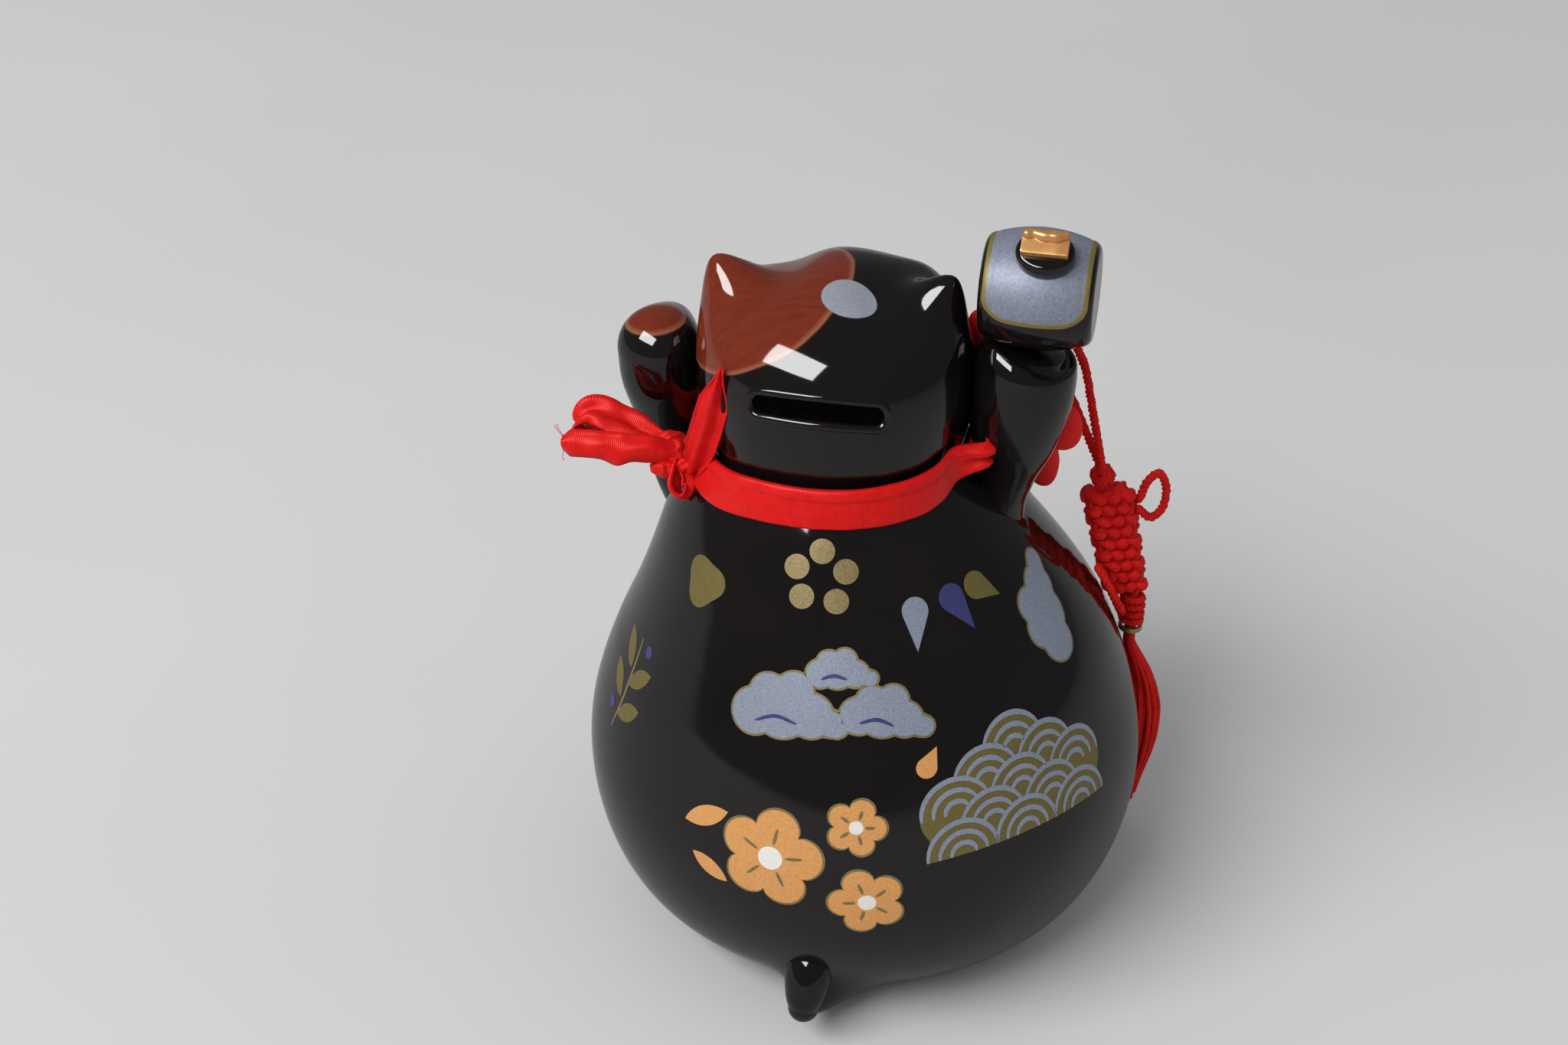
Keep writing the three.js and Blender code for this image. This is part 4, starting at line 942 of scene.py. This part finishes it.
def handle():
    """The handle through the barrel, with a knob on its stub and an oval boss at its head."""
    low = -BARREL_RADIUS - HANDLE_STUB
    knob, brow = 1.4, 1.5
    profile = [(0, low), (3.2, low)]
    profile += [(HANDLE_RADIUS + knob * sin(a), low + knob - knob * cos(a))
                for a in np.linspace(0.2, QUARTER, 6)]
    profile += [(4.8, low + 2.3), (4.4, low + 3.1), (3.6, low + 3.7), (HANDLE_RADIUS, low + 4.6),
                (HANDLE_RADIUS, SEAT - 1.4), (6.2, SEAT - 1.4), (6.6, SEAT - 0.6), (6.6, SEAT + 1.4)]
    profile += [(5.1 + brow * cos(a), SEAT + 1.4 + brow * sin(a)) for a in np.linspace(0.15, QUARTER, 8)]
    shape = spun(profile + [(0, SEAT + BOSS_HEIGHT)], 64)
    for vert in shape.verts:
        if vert.co.z > 0:
            vert.co.y *= BOSS_OVAL
            vert.co += BOSS_SHIFT
    turn = Matrix.Translation(BARREL_CENTRE) @ Matrix.Rotation(-HANDLE_TILT, 4, "X")
    bmesh.ops.transform(shape, matrix=turn, verts=shape.verts)
    glazed(softened(shape, 50), "mallet_boss", "mallet_handle")


def gilded_cap():
    """A folded leaf of gilt clay on the boss: a plain sloping front under a wavy roll."""
    length, depth, front, roll_back, roll_rise, roll_radius = 10.4, 5.2, -0.5, 1.5, 2.5, 1.3
    seat = SEAT + 2.9

    def on_boss(x, y, z):
        return on_handle(x * length + BOSS_SHIFT.x, y + BOSS_SHIFT.y + front, seat + z)

    cap = made(bmesh.ops.create_cube, size=1)
    rounded(cap, 0.05)
    bmesh.ops.subdivide_edges(cap, edges=cap.edges[:], cuts=5, use_grid_fill=True)
    for vert in cap.verts:
        x, y, z = vert.co
        vert.co = on_boss(x, y * depth, (z + 0.5) * (2 - 0.9 * y))
    bmesh.ops.recalc_face_normals(cap, faces=cap.faces)
    roll = []
    for x in np.linspace(-0.5, 0.5, 41):
        wave = sin(9 * x + 2.2) + 0.4 * sin(19 * x)
        end = sqrt(1 - (1.98 * x) ** 10)
        roll.append([*on_boss(x, 0.2 * wave - roll_back, roll_rise), (roll_radius + 0.16 * wave) * end])
    shape = added(softened(cap, 60), bars([np.array(roll)], 20))
    set_down(shape, "gilt_leaf", [GILT], nodes=("gilded_cap",))


barrel()
handle()
gilded_cap()


# Stopper.

def stopper():
    """The soft plug: a flange under the base, a tapering cup and a pull tab across its bore."""
    under, shoulder, rim, top, bore = 1.5, 3.7, 18.7, 16.7, 16.3
    profile = [(0, 14.3), (15.0, 14.3), (15.3, 13.9), (16.2, under + 0.6), (16.7, under), (22.4, under),
               (22.8, under + 0.25), (23, under + 0.8), (23, shoulder - 0.5), (22.7, shoulder - 0.1),
               (22.2, shoulder), (rim + 0.3, shoulder), (rim, shoulder + 0.4), (rim - 0.1, shoulder + 1),
               (17.75, top - 0.7), (17.5, top - 0.2), (16.9, top), (0, top)]
    tab = made(bmesh.ops.create_cube, size=1)
    bmesh.ops.scale(tab, vec=(2 * bore - 0.6, 3, 6.8), verts=tab.verts)
    bmesh.ops.translate(tab, vec=(0, 0, under + 3.9), verts=tab.verts)
    rounded(tab, 0.7, 3)
    shape = added(spun(profile, 72), tab)
    set_down(softened(shape, 45), "base_plug", [PLUG], "stopper", ("base_stopper",))


stopper()


# Print on the glaze.

# How far films stand off the skin, from the lowest layer to the highest.
FIRST, SECOND, THIRD, FOURTH = 0.07, 0.12, 0.17, 0.22


def facing_out(centre):
    """The nearest place on the skin, with the ways across, up and out of it there."""
    hit, normal, _, _ = SKIN.find_nearest(Vector(centre))
    up = (Vector((0, 0, 1)) - normal * normal.z).normalized()
    return hit, up.cross(normal), up, normal


def beside(centre, x, y):
    """A place beside another on the glaze, so far across and up in millimetres."""
    hit, across, up, _ = facing_out(centre)
    return hit + across * x + up * y


class Print:
    """One colour of print, gathered as thin films on the glaze."""

    def __init__(self, colour, dark, light, metallic, roughness):
        self.name, self.shape = "print_in_" + colour, bmesh.new()
        self.finish = lustre("print_" + colour, dark, light, metallic, roughness)

    def lay(self, patch, centre, turn, lift):
        """Lays a patch drawn flat in millimetres on the skin about a place, facing out."""
        hit, across, up, normal = facing_out(centre)
        turned = Matrix.Rotation(radians(turn), 2)
        for vert in patch.verts:
            flat = turned @ Vector(vert.co.xy)
            spot = hit + across * flat.x + up * flat.y
            found, facing, _, _ = SKIN.ray_cast(spot + normal * CAST_FROM, -normal)
            vert.co = found + facing * lift if found else spot
        bmesh.ops.recalc_face_normals(patch, faces=patch.faces)
        if sum((f.normal for f in patch.faces), Vector()).dot(normal) < 0:
            bmesh.ops.reverse_faces(patch, faces=patch.faces)
        added(self.shape, patch)

    def film(self, outline, centre, turn=0.0, lift=FIRST, segments=48):
        """A film inside an outline given as a radius in millimetres for each bearing."""
        patch = made(bmesh.ops.create_circle, cap_ends=True, cap_tris=True, segments=segments, radius=1)
        spokes = [e for e in patch.edges if min(v.co.length for v in e.verts) < 0.1]
        bmesh.ops.subdivide_edges(patch, edges=spokes, cuts=segments // 8)
        for vert in patch.verts:
            vert.co *= outline(atan2(vert.co.y, vert.co.x))
        self.lay(patch, centre, turn, lift)

    def stroke(self, points, width, centre, turn=0.0, lift=FIRST):
        """A brush line through flat points, thinner towards its ends."""
        path = smooth(points, 6 * len(points))
        along = np.gradient(path, axis=0)
        along /= np.linalg.norm(along, axis=1)[:, None]
        last = len(path) - 1
        patch = made(bmesh.ops.create_grid, x_segments=last, y_segments=1, size=1)
        for vert in patch.verts:
            share = (vert.co.x + 1) / 2
            i = round(share * last)
            half = vert.co.y * width / 2 * (0.35 + 0.65 * sin(pi * share) ** 0.5)
            vert.co = (path[i][0] - along[i][1] * half, path[i][1] + along[i][0] * half, 0)
        self.lay(patch, centre, turn, lift)

    def finish_up(self):
        set_down(softened(self.shape, 80), self.name, [self.finish])


# Each colour's darkest and lightest tone, its share of metal and its roughness.
PRINTS = [Print(*row) for row in (
    ("gold", (112, 96, 52), (158, 140, 96), 0.35, 0.4),
    ("olive_gold", (104, 92, 44), (132, 118, 66), 0.3, 0.4),
    ("silver", (122, 130, 148), (162, 170, 186), 0.25, 0.38),
    ("indigo", (48, 48, 100), (72, 72, 130), 0.1, 0.35),
    ("orange", (206, 138, 72), (232, 172, 106), 0.1, 0.35),
    ("white", (222, 218, 208), (240, 236, 228), 0.0, 0.3),
    ("red", (170, 26, 24), (200, 44, 38), 0.0, 0.3),
    ("black", (10, 8, 8), (22, 18, 16), 0.0, 0.25))]
GOLD, OLIVE, SILVER, INDIGO, ORANGE, WHITE, RED, BLACK = PRINTS


def dot(radius):
    return lambda bearing: radius


def leaf(length, width):
    """A pointed leaf along bearing 0, as the overlap of two circles."""
    bow = (length * length / 4 - width * width / 4) / width
    big = bow + width / 2

    def reach(bearing):
        off = abs(sin(bearing)) * bow
        return sqrt(max(0, off * off + big * big - bow * bow)) - off
    return reach


def drop(length, width):
    """A drop with a round end about its centre and a point along bearing 0."""
    radius = width / 2
    touch = acos(radius / (length - radius))
    return lambda bearing: radius / cos(max(0, touch - abs(bearing)))


def petals(radius):
    count, notch = 5, 0.3
    return lambda bearing: radius * (1 - notch + notch * abs(cos(count * bearing / 2)) ** 0.7)


def rounded_corner(radius):
    return lambda bearing: radius * (1 + 0.14 * cos(3 * bearing))


def scalloped(discs):
    """The outer edge of discs that lie over each other, given as places and radii."""
    def reach(bearing):
        best = 0.2
        for x, y, radius in discs:
            along = x * cos(bearing) + y * sin(bearing)
            left = radius * radius - (x * x + y * y - along * along)
            if left > 0:
                best = max(best, along + sqrt(left))
        return best
    return reach


CLOUD_PUFFS = [(0, 0, 1), (0.95, -0.2, 0.72), (-0.95, -0.2, 0.76), (0.4, 0.55, 0.62), (-0.45, 0.4, 0.66),
               (1.75, -0.45, 0.42)]


def cloud(size, place, turn):
    """A silver cloud with a gold edge."""
    for colour, edge, lift in ((GOLD, 0.5, FIRST), (SILVER, 0, SECOND)):
        discs = [(x * size, y * size, radius * size + edge) for x, y, radius in CLOUD_PUFFS]
        colour.film(scalloped(discs), place, turn, lift, 96)


def blossom(radius, place, turn):
    """An orange blossom with a gold edge, a white heart and gold rays."""
    GOLD.film(petals(radius + 0.6), place, turn, segments=100)
    ORANGE.film(petals(radius), place, turn, SECOND, 100)
    WHITE.film(dot(radius * 0.24), place, turn, THIRD)
    for petal in range(5):
        way = radians(72 * petal)
        ray = [(share * radius * cos(way), share * radius * sin(way)) for share in (0.3, 0.45, 0.62)]
        GOLD.stroke(ray, 0.8, place, turn, THIRD + 0.02)


# The sea's middle lies a hair off the seam between two faces of the skin, so that its facing is plain.
WAVE, SEA = 8.5, (-45, 45.001, 70)
WAVES = [(WAVE * across, 0.62 * WAVE * row) for row, places in (
    (-2, (-2, 0, 2)), (-1, (-1, 1)), (0, (-2, 0, 2)), (1, (-1, 1)), (2, (0,))) for across in places]


def wave_scales():
    """Overlapping wave scales in silver lines on olive, each ending where a lower scale covers it."""
    shore = WAVES[0][1]
    edge = scalloped([(x, y, WAVE + 0.4) for x, y in WAVES])
    OLIVE.film(lambda b: min(edge(b), shore / min(-1e-6, sin(b))), SEA, 0, 0.1, 160)
    for x, y in WAVES:
        covers = [(a, b) for a, b in WAVES if b < y and hypot(a - x, b - y) < 2 * WAVE]
        for radius in (WAVE, 0.68 * WAVE, 0.36 * WAVE):
            spots = [(x + radius * cos(a), y + radius * sin(a)) for a in np.linspace(0, pi, 25)]
            arc = [s for s in spots if all(hypot(s[0] - a, s[1] - b) > WAVE for a, b in covers)]
            if len(arc) > 2:
                SILVER.stroke(arc, 1.3, SEA, 0, THIRD)


def sprig(place):
    """A gold stem with olive leaves and indigo berries."""
    GOLD.stroke([(0, -13), (1.2, -4), (0.6, 5), (-0.6, 13)], 1, place)
    for x, y, turn in ((5.4, -5, 35), (-4.6, -1, 145), (4.8, 4.4, 42), (-4.6, 8, 136)):
        OLIVE.film(leaf(11, 4.6), beside(place, x, y), turn)
    for x, y in ((-3.6, -8), (4.2, 12)):
        INDIGO.film(dot(1.5), beside(place, x, y))


def back_print():
    """Crest of dots, leaf drops, clouds, blossoms, wave scales and a sprig round the back."""
    for place in ((4.4, 36.1, 124.5), (9.8, 38.3, 121), (-1.4, 37.6, 120.7), (8, 41.7, 115.3),
                  (0, 41.5, 114.9)):
        GOLD.film(dot(2.9), place)
    OLIVE.film(rounded_corner(5.8), (32.4, 34.9, 110.8), 20)
    SILVER.film(drop(12.6, 6.4), (-17.6, 37.4, 112), -97)
    INDIGO.film(drop(12.6, 6.6), (-25, 31.2, 112.4), -68)
    OLIVE.film(drop(10.6, 6.6), (-29.6, 25.4, 112.6), -40)
    for size, place, turn in ((7.2, (10, 53.5, 92), 8), (5.6, (-13, 52, 93), -6),
                              (4.2, (-2, 49.5, 101.5), 4)):
        cloud(size, place, turn)
        curl = [(-0.9 * size, -0.5 * size), (-0.2 * size, -0.3 * size), (0.5 * size, -0.5 * size)]
        INDIGO.stroke(curl, 0.9, place, turn, THIRD)
    for radius, place, turn in ((12.5, (10, 67.6, 58), 10), (9, (-13, 67, 49), 40),
                                (7, (-10, 66.5, 69), 0)):
        blossom(radius, place, turn)
    ORANGE.film(leaf(13, 5), (27, 62, 63), 30)
    ORANGE.film(leaf(11, 4.4), (25, 64, 50), -25)
    wave_scales()
    cloud(7, (-45.2, 15.7, 99.9), 70)
    sprig((53.6, 33, 76))
    ORANGE.film(drop(8, 5), (-25, 57, 82), 60)


def face_print():
    """A plain painted face, whiskers, red ear hollows and the lines between the toes."""
    for side in SIDES:
        eye = (HEAD_OFFSET + 12 * side, -28, 156.5)
        GOLD.film(leaf(12.4, 8.8), eye, -8 * side)
        WHITE.film(leaf(11.4, 7.8), eye, -8 * side, SECOND)
        GOLD.film(dot(2.9), eye, 0, THIRD)
        BLACK.film(dot(1.9), eye, 0, FOURTH)
        for rise in (-0.22, 0, 0.22):
            hair = [(side * reach * cos(rise), reach * sin(rise)) for reach in (3, 8, 13)]
            WHITE.stroke(hair, 0.6, (HEAD_OFFSET + 13 * side, -29, 147.5))
        mouth = [(0, 0.8), (side * 1.2, -1.2), (side * 3.2, -1.6), (side * 4.8, -0.4)]
        RED.stroke(mouth, 0.8, (HEAD_OFFSET, -34, 147.4))
        for toe in (-4, 0, 4):
            GOLD.stroke([(toe, 3), (toe * 1.1, 0), (toe * 1.15, -2.6)], 0.8, (20 * side, -72, 9))
    RED.film(drop(4, 3.4), (HEAD_OFFSET, -36, 151.8), -90)
    for root, way, height, _ in EARS:
        RED.film(leaf(10, 6), root + way * height * 0.35 + Vector((0, -6, 0)), 90)


back_print()
face_print()
for colour in PRINTS:
    colour.finish_up()


# Ribbon.

BOW_STEPS = 60


def ribbon_strip(path, across, widths, name, node, section=None, ripple=0.0):
    """A strip of ribbon along a path, with the way its width lies and how wide it is at each point.

    A section, if there is one, gives instead for each share of the width and of the length how far the place
    lies across and out, in millimetres.
    """
    path, across = rows_of(path), rows_of(across)
    last = len(path) - 1
    tangent = np.gradient(path, axis=0)
    run = run_along(path)
    shape = made(bmesh.ops.create_grid, x_segments=last, y_segments=24, size=1)
    weave = shape.loops.layers.uv.new("weave")

    def row_of(vert):
        return round((vert.co.x + 1) / 2 * last)

    for face in shape.faces:
        face.smooth = True
        for loop in face.loops:
            loop[weave].uv = (run[row_of(loop.vert)], loop.vert.co.y * RIBBON_WIDTH / 2)
    for vert in shape.verts:
        i, w = row_of(vert), vert.co.y
        along = tangent[i] / np.linalg.norm(tangent[i])
        side = across[i] - along * across[i].dot(along)
        side /= np.linalg.norm(side)
        wrinkle = ripple * noise.noise(Vector((run[i] * 0.22, w * 1.3, len(name))))
        if section:
            sideways, out = section(w, i / last)
        else:
            gathered = sqrt(max(0, RIBBON_WIDTH / widths[i] - 1))
            sideways = w * widths[i] / 2
            out = widths[i] / (pi * PLEATS) * gathered * sin(pi * PLEATS * (w + 0.2))
        vert.co = Vector(path[i] + side * sideways + np.cross(along, side) * (out + wrinkle))
    strip = set_down(shape, name, [SATIN], nodes=(node,))
    body = strip.modifiers.new("thickness", "SOLIDIFY")
    body.thickness, body.offset = RIBBON_THICKNESS / 1000, 0


def collar():
    """The band round the neck, with a layer folded down at its upper edge and a bunch by the right arm."""
    start, clear, layer_height = 0.3, 0.7, 0.6
    sag, sag_bearing, rise, rise_bearing = 2.6, 0.7, 5.5, 2.98
    bunch_out, bunch_bearing = 7, 2.9
    half = RIBBON_WIDTH / 2

    def bunched(turn):
        return bell(turn - bunch_bearing, 0.1)

    def section(w, share):
        layer = layer_height * (smoothstep(w, 0.4, 0.5) - smoothstep(w, 0.9, 1))
        bunch = bunched(start + share * FULL_TURN)
        return 4.8 * w * (1 - 0.4 * bunch), -0.5 * (w * w - 0.5) + layer + 1.2 * bunch * sin(5 * w)

    path, across = [], []
    for turn in np.linspace(start, FULL_TURN + start, 241):
        lift = rise * bell(turn - rise_bearing, 0.3) - sag * bell(turn - sag_bearing, 0.45)
        height = RIBBON_HEIGHT - 0.3 + lift
        over, under = body_radius(height + half), body_radius(height - half)
        reach = (over + under) / 2 + clear + bunch_out * bunched(turn)
        path.append((lean(height) + reach * cos(turn), reach * sin(turn), height))
        tilt = (over - under) / RIBBON_WIDTH
        across.append((tilt * cos(turn), tilt * sin(turn), 1))
    ribbon_strip(path, across, None, "neck_ribbon", "ribbon_collar", section, 0.25)


# The bow's own directions: along towards its loop, up its face and out of its face.
BOW_ALONG, BOW_UP = Vector((0.978, 0.208, 0)), Vector((0.119, -0.561, 0.819))
BOW_OUT = Vector((-0.17, 0.801, 0.574))
BOW_SHIFT = -2


def bow_place(along, up, out):
    return KNOT_CENTRE + BOW_ALONG * (along + BOW_SHIFT) + BOW_UP * up + BOW_OUT * out


def bow_path(places, count=BOW_STEPS):
    return smooth([bow_place(*place) for place in places], count)


def folded_over(w, share):
    """The left tail's section: a short back, a rounded fold on top and a full front that curls in below."""
    back, bend, crest = 1.6, 1.0, 2.2
    run = RIBBON_WIDTH / 2 * (w + 1)
    front = back + pi * bend
    squeeze = (0.7 + 0.3 * smoothstep(share, 0, 0.3)) * (1 - 0.45 * smoothstep(share, 0.9, 1) ** 2)
    if run < back:
        return (crest - back + run) * squeeze, bend
    if run < front:
        turn = (run - back) / bend
        return (crest + bend * sin(turn)) * squeeze, bend * cos(turn)
    fall = (run - front) / (RIBBON_WIDTH - front)
    droop = 1.3 * bell(share - 0.55, 0.08) * fall * fall
    return (crest - 5.2 * fall - droop) * squeeze, -bend - 1.1 * sin(pi * fall) + 1.6 * fall * fall


def bow():
    """The open loop, the small bunched loop and the two tails."""
    shares = np.linspace(0, 1, BOW_STEPS)

    def strip(places, across, widths, name, node, section=None, ripple=0.7):
        ribbon_strip(bow_path(places), [across] * BOW_STEPS, widths, name, node, section, ripple)

    places = [(0, 0, 0.5), (4, 3, 1), (9, 5.6, 1.4), (14.5, 8.3, 1.6), (19, 10, 1.2), (22, 9.4, 0.8),
              (23.2, 7, 0.4), (21.6, 4.9, 0.2), (16, 4, 0), (9, 2.6, -0.3), (3, 1, -0.5), (0, 0, -0.8)]
    widths = [9.4 * (0.34 + 0.66 * smoothstep(min(share, 1 - share), 0, 0.26))
              * (1 - 0.28 * bell(share - 0.47, 0.1)) for share in shares]
    strip(places, 0.8 * BOW_UP - 0.6 * BOW_OUT, widths, "bow_open_loop", "bow_loop")

    places = [(-0.5, -1.5, 1), (0.4, -4, 2.2), (1, -7.4, 2.6), (-0.6, -9.6, 2), (-3, -8.8, 1.4),
              (-3.2, -5.2, 1.2), (-1, -2, 0)]
    widths = [6.5] * BOW_STEPS
    strip(places, BOW_OUT + 0.5 * BOW_ALONG, widths, "bow_small_loop", "bow_loop_lower", ripple=0.5)

    places = [(0, 0.2, 3), (6, 0.7, 5.4), (12, 1.2, 6.4), (20, 1.9, 6.2), (26.4, 2.3, 5)]
    strip(places, BOW_UP, None, "bow_left_tail", "ribbon_tail_left", folded_over)

    places = [(-3.4, -4.4, 4), (-4.8, -1, 8), (-7, 5, 14.6), (-9, 11, 20.6), (-10.8, 18.2, 26)]
    widths = [7.8 * (0.5 + 0.5 * smoothstep(share, 0, 0.4)) * (1 - 0.82 * smoothstep(share, 0.7, 1))
              for share in shares]
    strip(places, BOW_ALONG - 0.5 * BOW_OUT, widths, "bow_upright_tail", "ribbon_tail_upright", ripple=0.4)


def frayed_ends():
    """Loose threads at the cut ends of the two tails."""
    ends = [((26.2, 3.6, 4.4), (27.4, 5.4, 4.4), (28, 6.8, 4.2)),
            ((26.2, 3.4, 4.4), (27.4, 4.8, 4), (28.6, 6.4, 4)),
            ((26.2, 0.4, 4.6), (26.6, -0.8, 4.6), (26.2, -1.8, 4.6)),
            ((-10.5, 18, 26), (-10.9, 18.8, 26), (-10.8, 19.6, 26))]
    threads = [even_line(bow_path(places, 8), 0.09) for places in ends]
    set_down(bars(threads, 6), "frayed_threads", [RED_CORD])


def knot():
    """The bow's knot: lumps of ribbon drawn tight over each other."""
    lumps = [((0, 0, 0), (4.6, 4.8, 4.2), 0.2), ((1.6, 3.2, 1), (3.2, 2.2, 3), 0.9),
             ((0.4, 0.4, 2.2), (2.6, 3.2, 2.6), 2.0), ((2.8, -3.4, 1.6), (3.4, 2.4, 3), 3.1),
             ((-1.6, -2.6, 2), (2.6, 2.4, 2.6), 4.2)]
    shape = bmesh.new()
    shape.loops.layers.uv.new("weave")
    for centre, radii, turn in lumps:
        lump = ball(32, 20)
        weave = lump.loops.layers.uv.new("weave")
        for face in lump.faces:
            face.smooth = True
            for loop in face.loops:
                x, y, z = loop.vert.co
                loop[weave].uv = (6 * atan2(z, x), 4 * y)
        for vert in lump.verts:
            fold = 0.07 * sin(9 * (vert.co.x * cos(turn) + vert.co.y * sin(turn)) + turn)
            fold += 0.14 * noise.noise(vert.co * 2 + Vector((turn, 0, 0)))
            vert.co = bow_place(*(c + r * v * (1 + fold) for c, r, v in zip(centre, radii, vert.co)))
        added(shape, lump)
    set_down(shape, "bow_knot", [SATIN], nodes=("ribbon_knot",))


collar()
bow()
frayed_ends()
knot()


# Padded bow.

CLOTH_SCALE, CLOTH_STEPS, CLOTH_PRESSURE = 0.05, 16, 4
LOBE_START, LOBE_FULLNESS, LOBE_DEPTH, KNOT_RADIUS = 3.8, 0.47, 2.7, 4.4


def puffed(shape, name):
    """Swells a closed cushion of cloth under light pressure, at the scale that the cloth solver likes."""
    mesh = bpy.data.meshes.new(name)
    shape.to_mesh(mesh)
    mesh.transform(Matrix.Scale(CLOTH_SCALE, 4))
    holder = placed(name, mesh)
    scene = bpy.context.scene
    cloth = holder.modifiers.new("cloth", "CLOTH")
    cloth.settings.use_pressure = True
    cloth.settings.uniform_pressure_force = CLOTH_PRESSURE
    cloth.settings.effector_weights.gravity = 0
    cloth.settings.quality = 5
    cloth.point_cache.frame_start, cloth.point_cache.frame_end = 1, CLOTH_STEPS
    for step in range(1, CLOTH_STEPS + 1):
        scene.frame_set(step)
    result = settled(holder)
    bpy.data.objects.remove(holder)
    scene.frame_set(1)
    shape.clear()
    shape.from_mesh(result)
    bmesh.ops.scale(shape, vec=[1 / CLOTH_SCALE] * 3, verts=shape.verts)
    return shape


def cushion(shape, name, node):
    return set_down(softened(puffed(shape, name), 80), name, [CREPE], nodes=(node,))


def lobe(tip, width, root_share, name, node):
    """A plump lobe of the padded bow from its knot to a tip."""
    along = (tip - PAD_KNOT).normalized()
    start = PAD_KNOT + along * LOBE_START
    reach = (tip - start).length
    side = (Vector((0, 1, 0)) - along * along.y).normalized()
    across = side.cross(along)
    shape = ball(32, 22)
    for vert in shape.verts:
        x, y, z = vert.co
        t = (z + 1) / 2
        share = root_share + (1 - root_share) * smoothstep(t, 0, 0.6)
        share *= 1 + 0.1 * cos(7 * atan2(y, x)) * (1 - t) ** 2
        out = across * (x * LOBE_FULLNESS * width) + side * (y * LOBE_DEPTH)
        vert.co = start + along * reach * t + out * share
    piece = cushion(shape, name, node)
    fine = piece.modifiers.new("fine", "SUBSURF")
    fine.levels = fine.render_levels = 1


def padded_bow():
    """Two lobes, a tail that lies on the belly, and the knot that gathers them."""
    lobe(PAD_KNOT + Vector((14.25, -3.75, 13.95)), 15, 0.45, "pad_upper", "padded_bow_upper")
    lobe(PAD_KNOT + Vector((-11, 2.85, -18)), 13.6, 0.45, "pad_lower", "padded_bow_lower")
    height, bearing = PAD_KNOT.z - 34, radians(203)
    reach = body_radius(height) + 5.4
    tip = Vector((lean(height) + reach * cos(bearing), reach * sin(bearing), height))
    lobe(tip, 12, 0.3, "pad_tail", "padded_bow_tail")
    shape = ball(28, 18)
    for vert in shape.verts:
        pleat = 1 + 0.06 * cos(9 * atan2(vert.co.y, vert.co.x))
        vert.co = PAD_KNOT + vert.co * KNOT_RADIUS * pleat
    piece = cushion(shape, "pad_knot", "padded_bow_knot")


padded_bow()


# Floor and lamps.

FLOOR_TONES = tones((0.3, 212, 211, 209), (0.7, 218, 217, 215))
FLOOR_MIRRORED = rgb(168, 167, 166)
FLOOR_HALF = 4000
SKY_COLOUR, SKY_SEEN, SKY_MIRRORED = (0.95, 0.97, 1, 1), 0.45, 0.14
LAMP_TARGET, LAMP_WIDTH, LAMP_HEIGHT = Vector((5, 0, 110)), 0.77, 0.38


def floor():
    """A plain pale floor, darker where the glaze mirrors it."""
    finish = Finish("floor_paper", 0.9)
    mirrored = finish.node("LightPath").outputs["Is Glossy Ray"]
    paper = finish.ramp(finish.noise(3, 3), FLOOR_TONES)
    finish.set("Base Color", finish.mix(mirrored, paper, FLOOR_MIRRORED))
    shape = made(bmesh.ops.create_grid, x_segments=4, y_segments=4, size=FLOOR_HALF)
    set_down(shape, "floor", [finish.material], body=None)


def sky():
    """Even light from all round, darker where the glaze mirrors it."""
    world = bpy.data.worlds.new("studio")
    world.use_nodes = True
    nodes, links = world.node_tree.nodes, world.node_tree.links
    background = nodes["Background"].inputs
    background["Color"].default_value = SKY_COLOUR
    level = nodes.new("ShaderNodeMapRange")
    level.inputs["To Min"].default_value = SKY_SEEN
    level.inputs["To Max"].default_value = SKY_MIRRORED
    links.new(nodes.new("ShaderNodeLightPath").outputs["Is Glossy Ray"], level.inputs["Value"])
    links.new(level.outputs[0], background["Strength"])
    bpy.context.scene.world = world


def softbox(name, power, distance, bearing, mirrored):
    """A soft lamp that either lights the figure or shows as a gleam on its glaze."""
    lamp = placed(name, bpy.data.lights.new(name, "AREA"))
    way = Vector(bearing).normalized()
    lamp.data.shape = "RECTANGLE"
    lamp.data.size, lamp.data.size_y = LAMP_WIDTH * distance, LAMP_HEIGHT * distance
    lamp.data.energy = power
    lamp.location = TO_FRAME @ LAMP_TARGET + way * distance
    lamp.rotation_euler = way.to_track_quat("Z", "Y").to_euler()
    lamp.visible_glossy, lamp.visible_diffuse = mirrored, not mirrored


floor()
sky()
softbox("softbox", 53, 2.6, (0.42, 0.57, 0.77), mirrored=False)
softbox("softbox_gleam", 9.5, 0.8, (0.42, 0.57, 0.74), mirrored=True)
bpy.context.scene.view_settings.view_transform = "Standard"
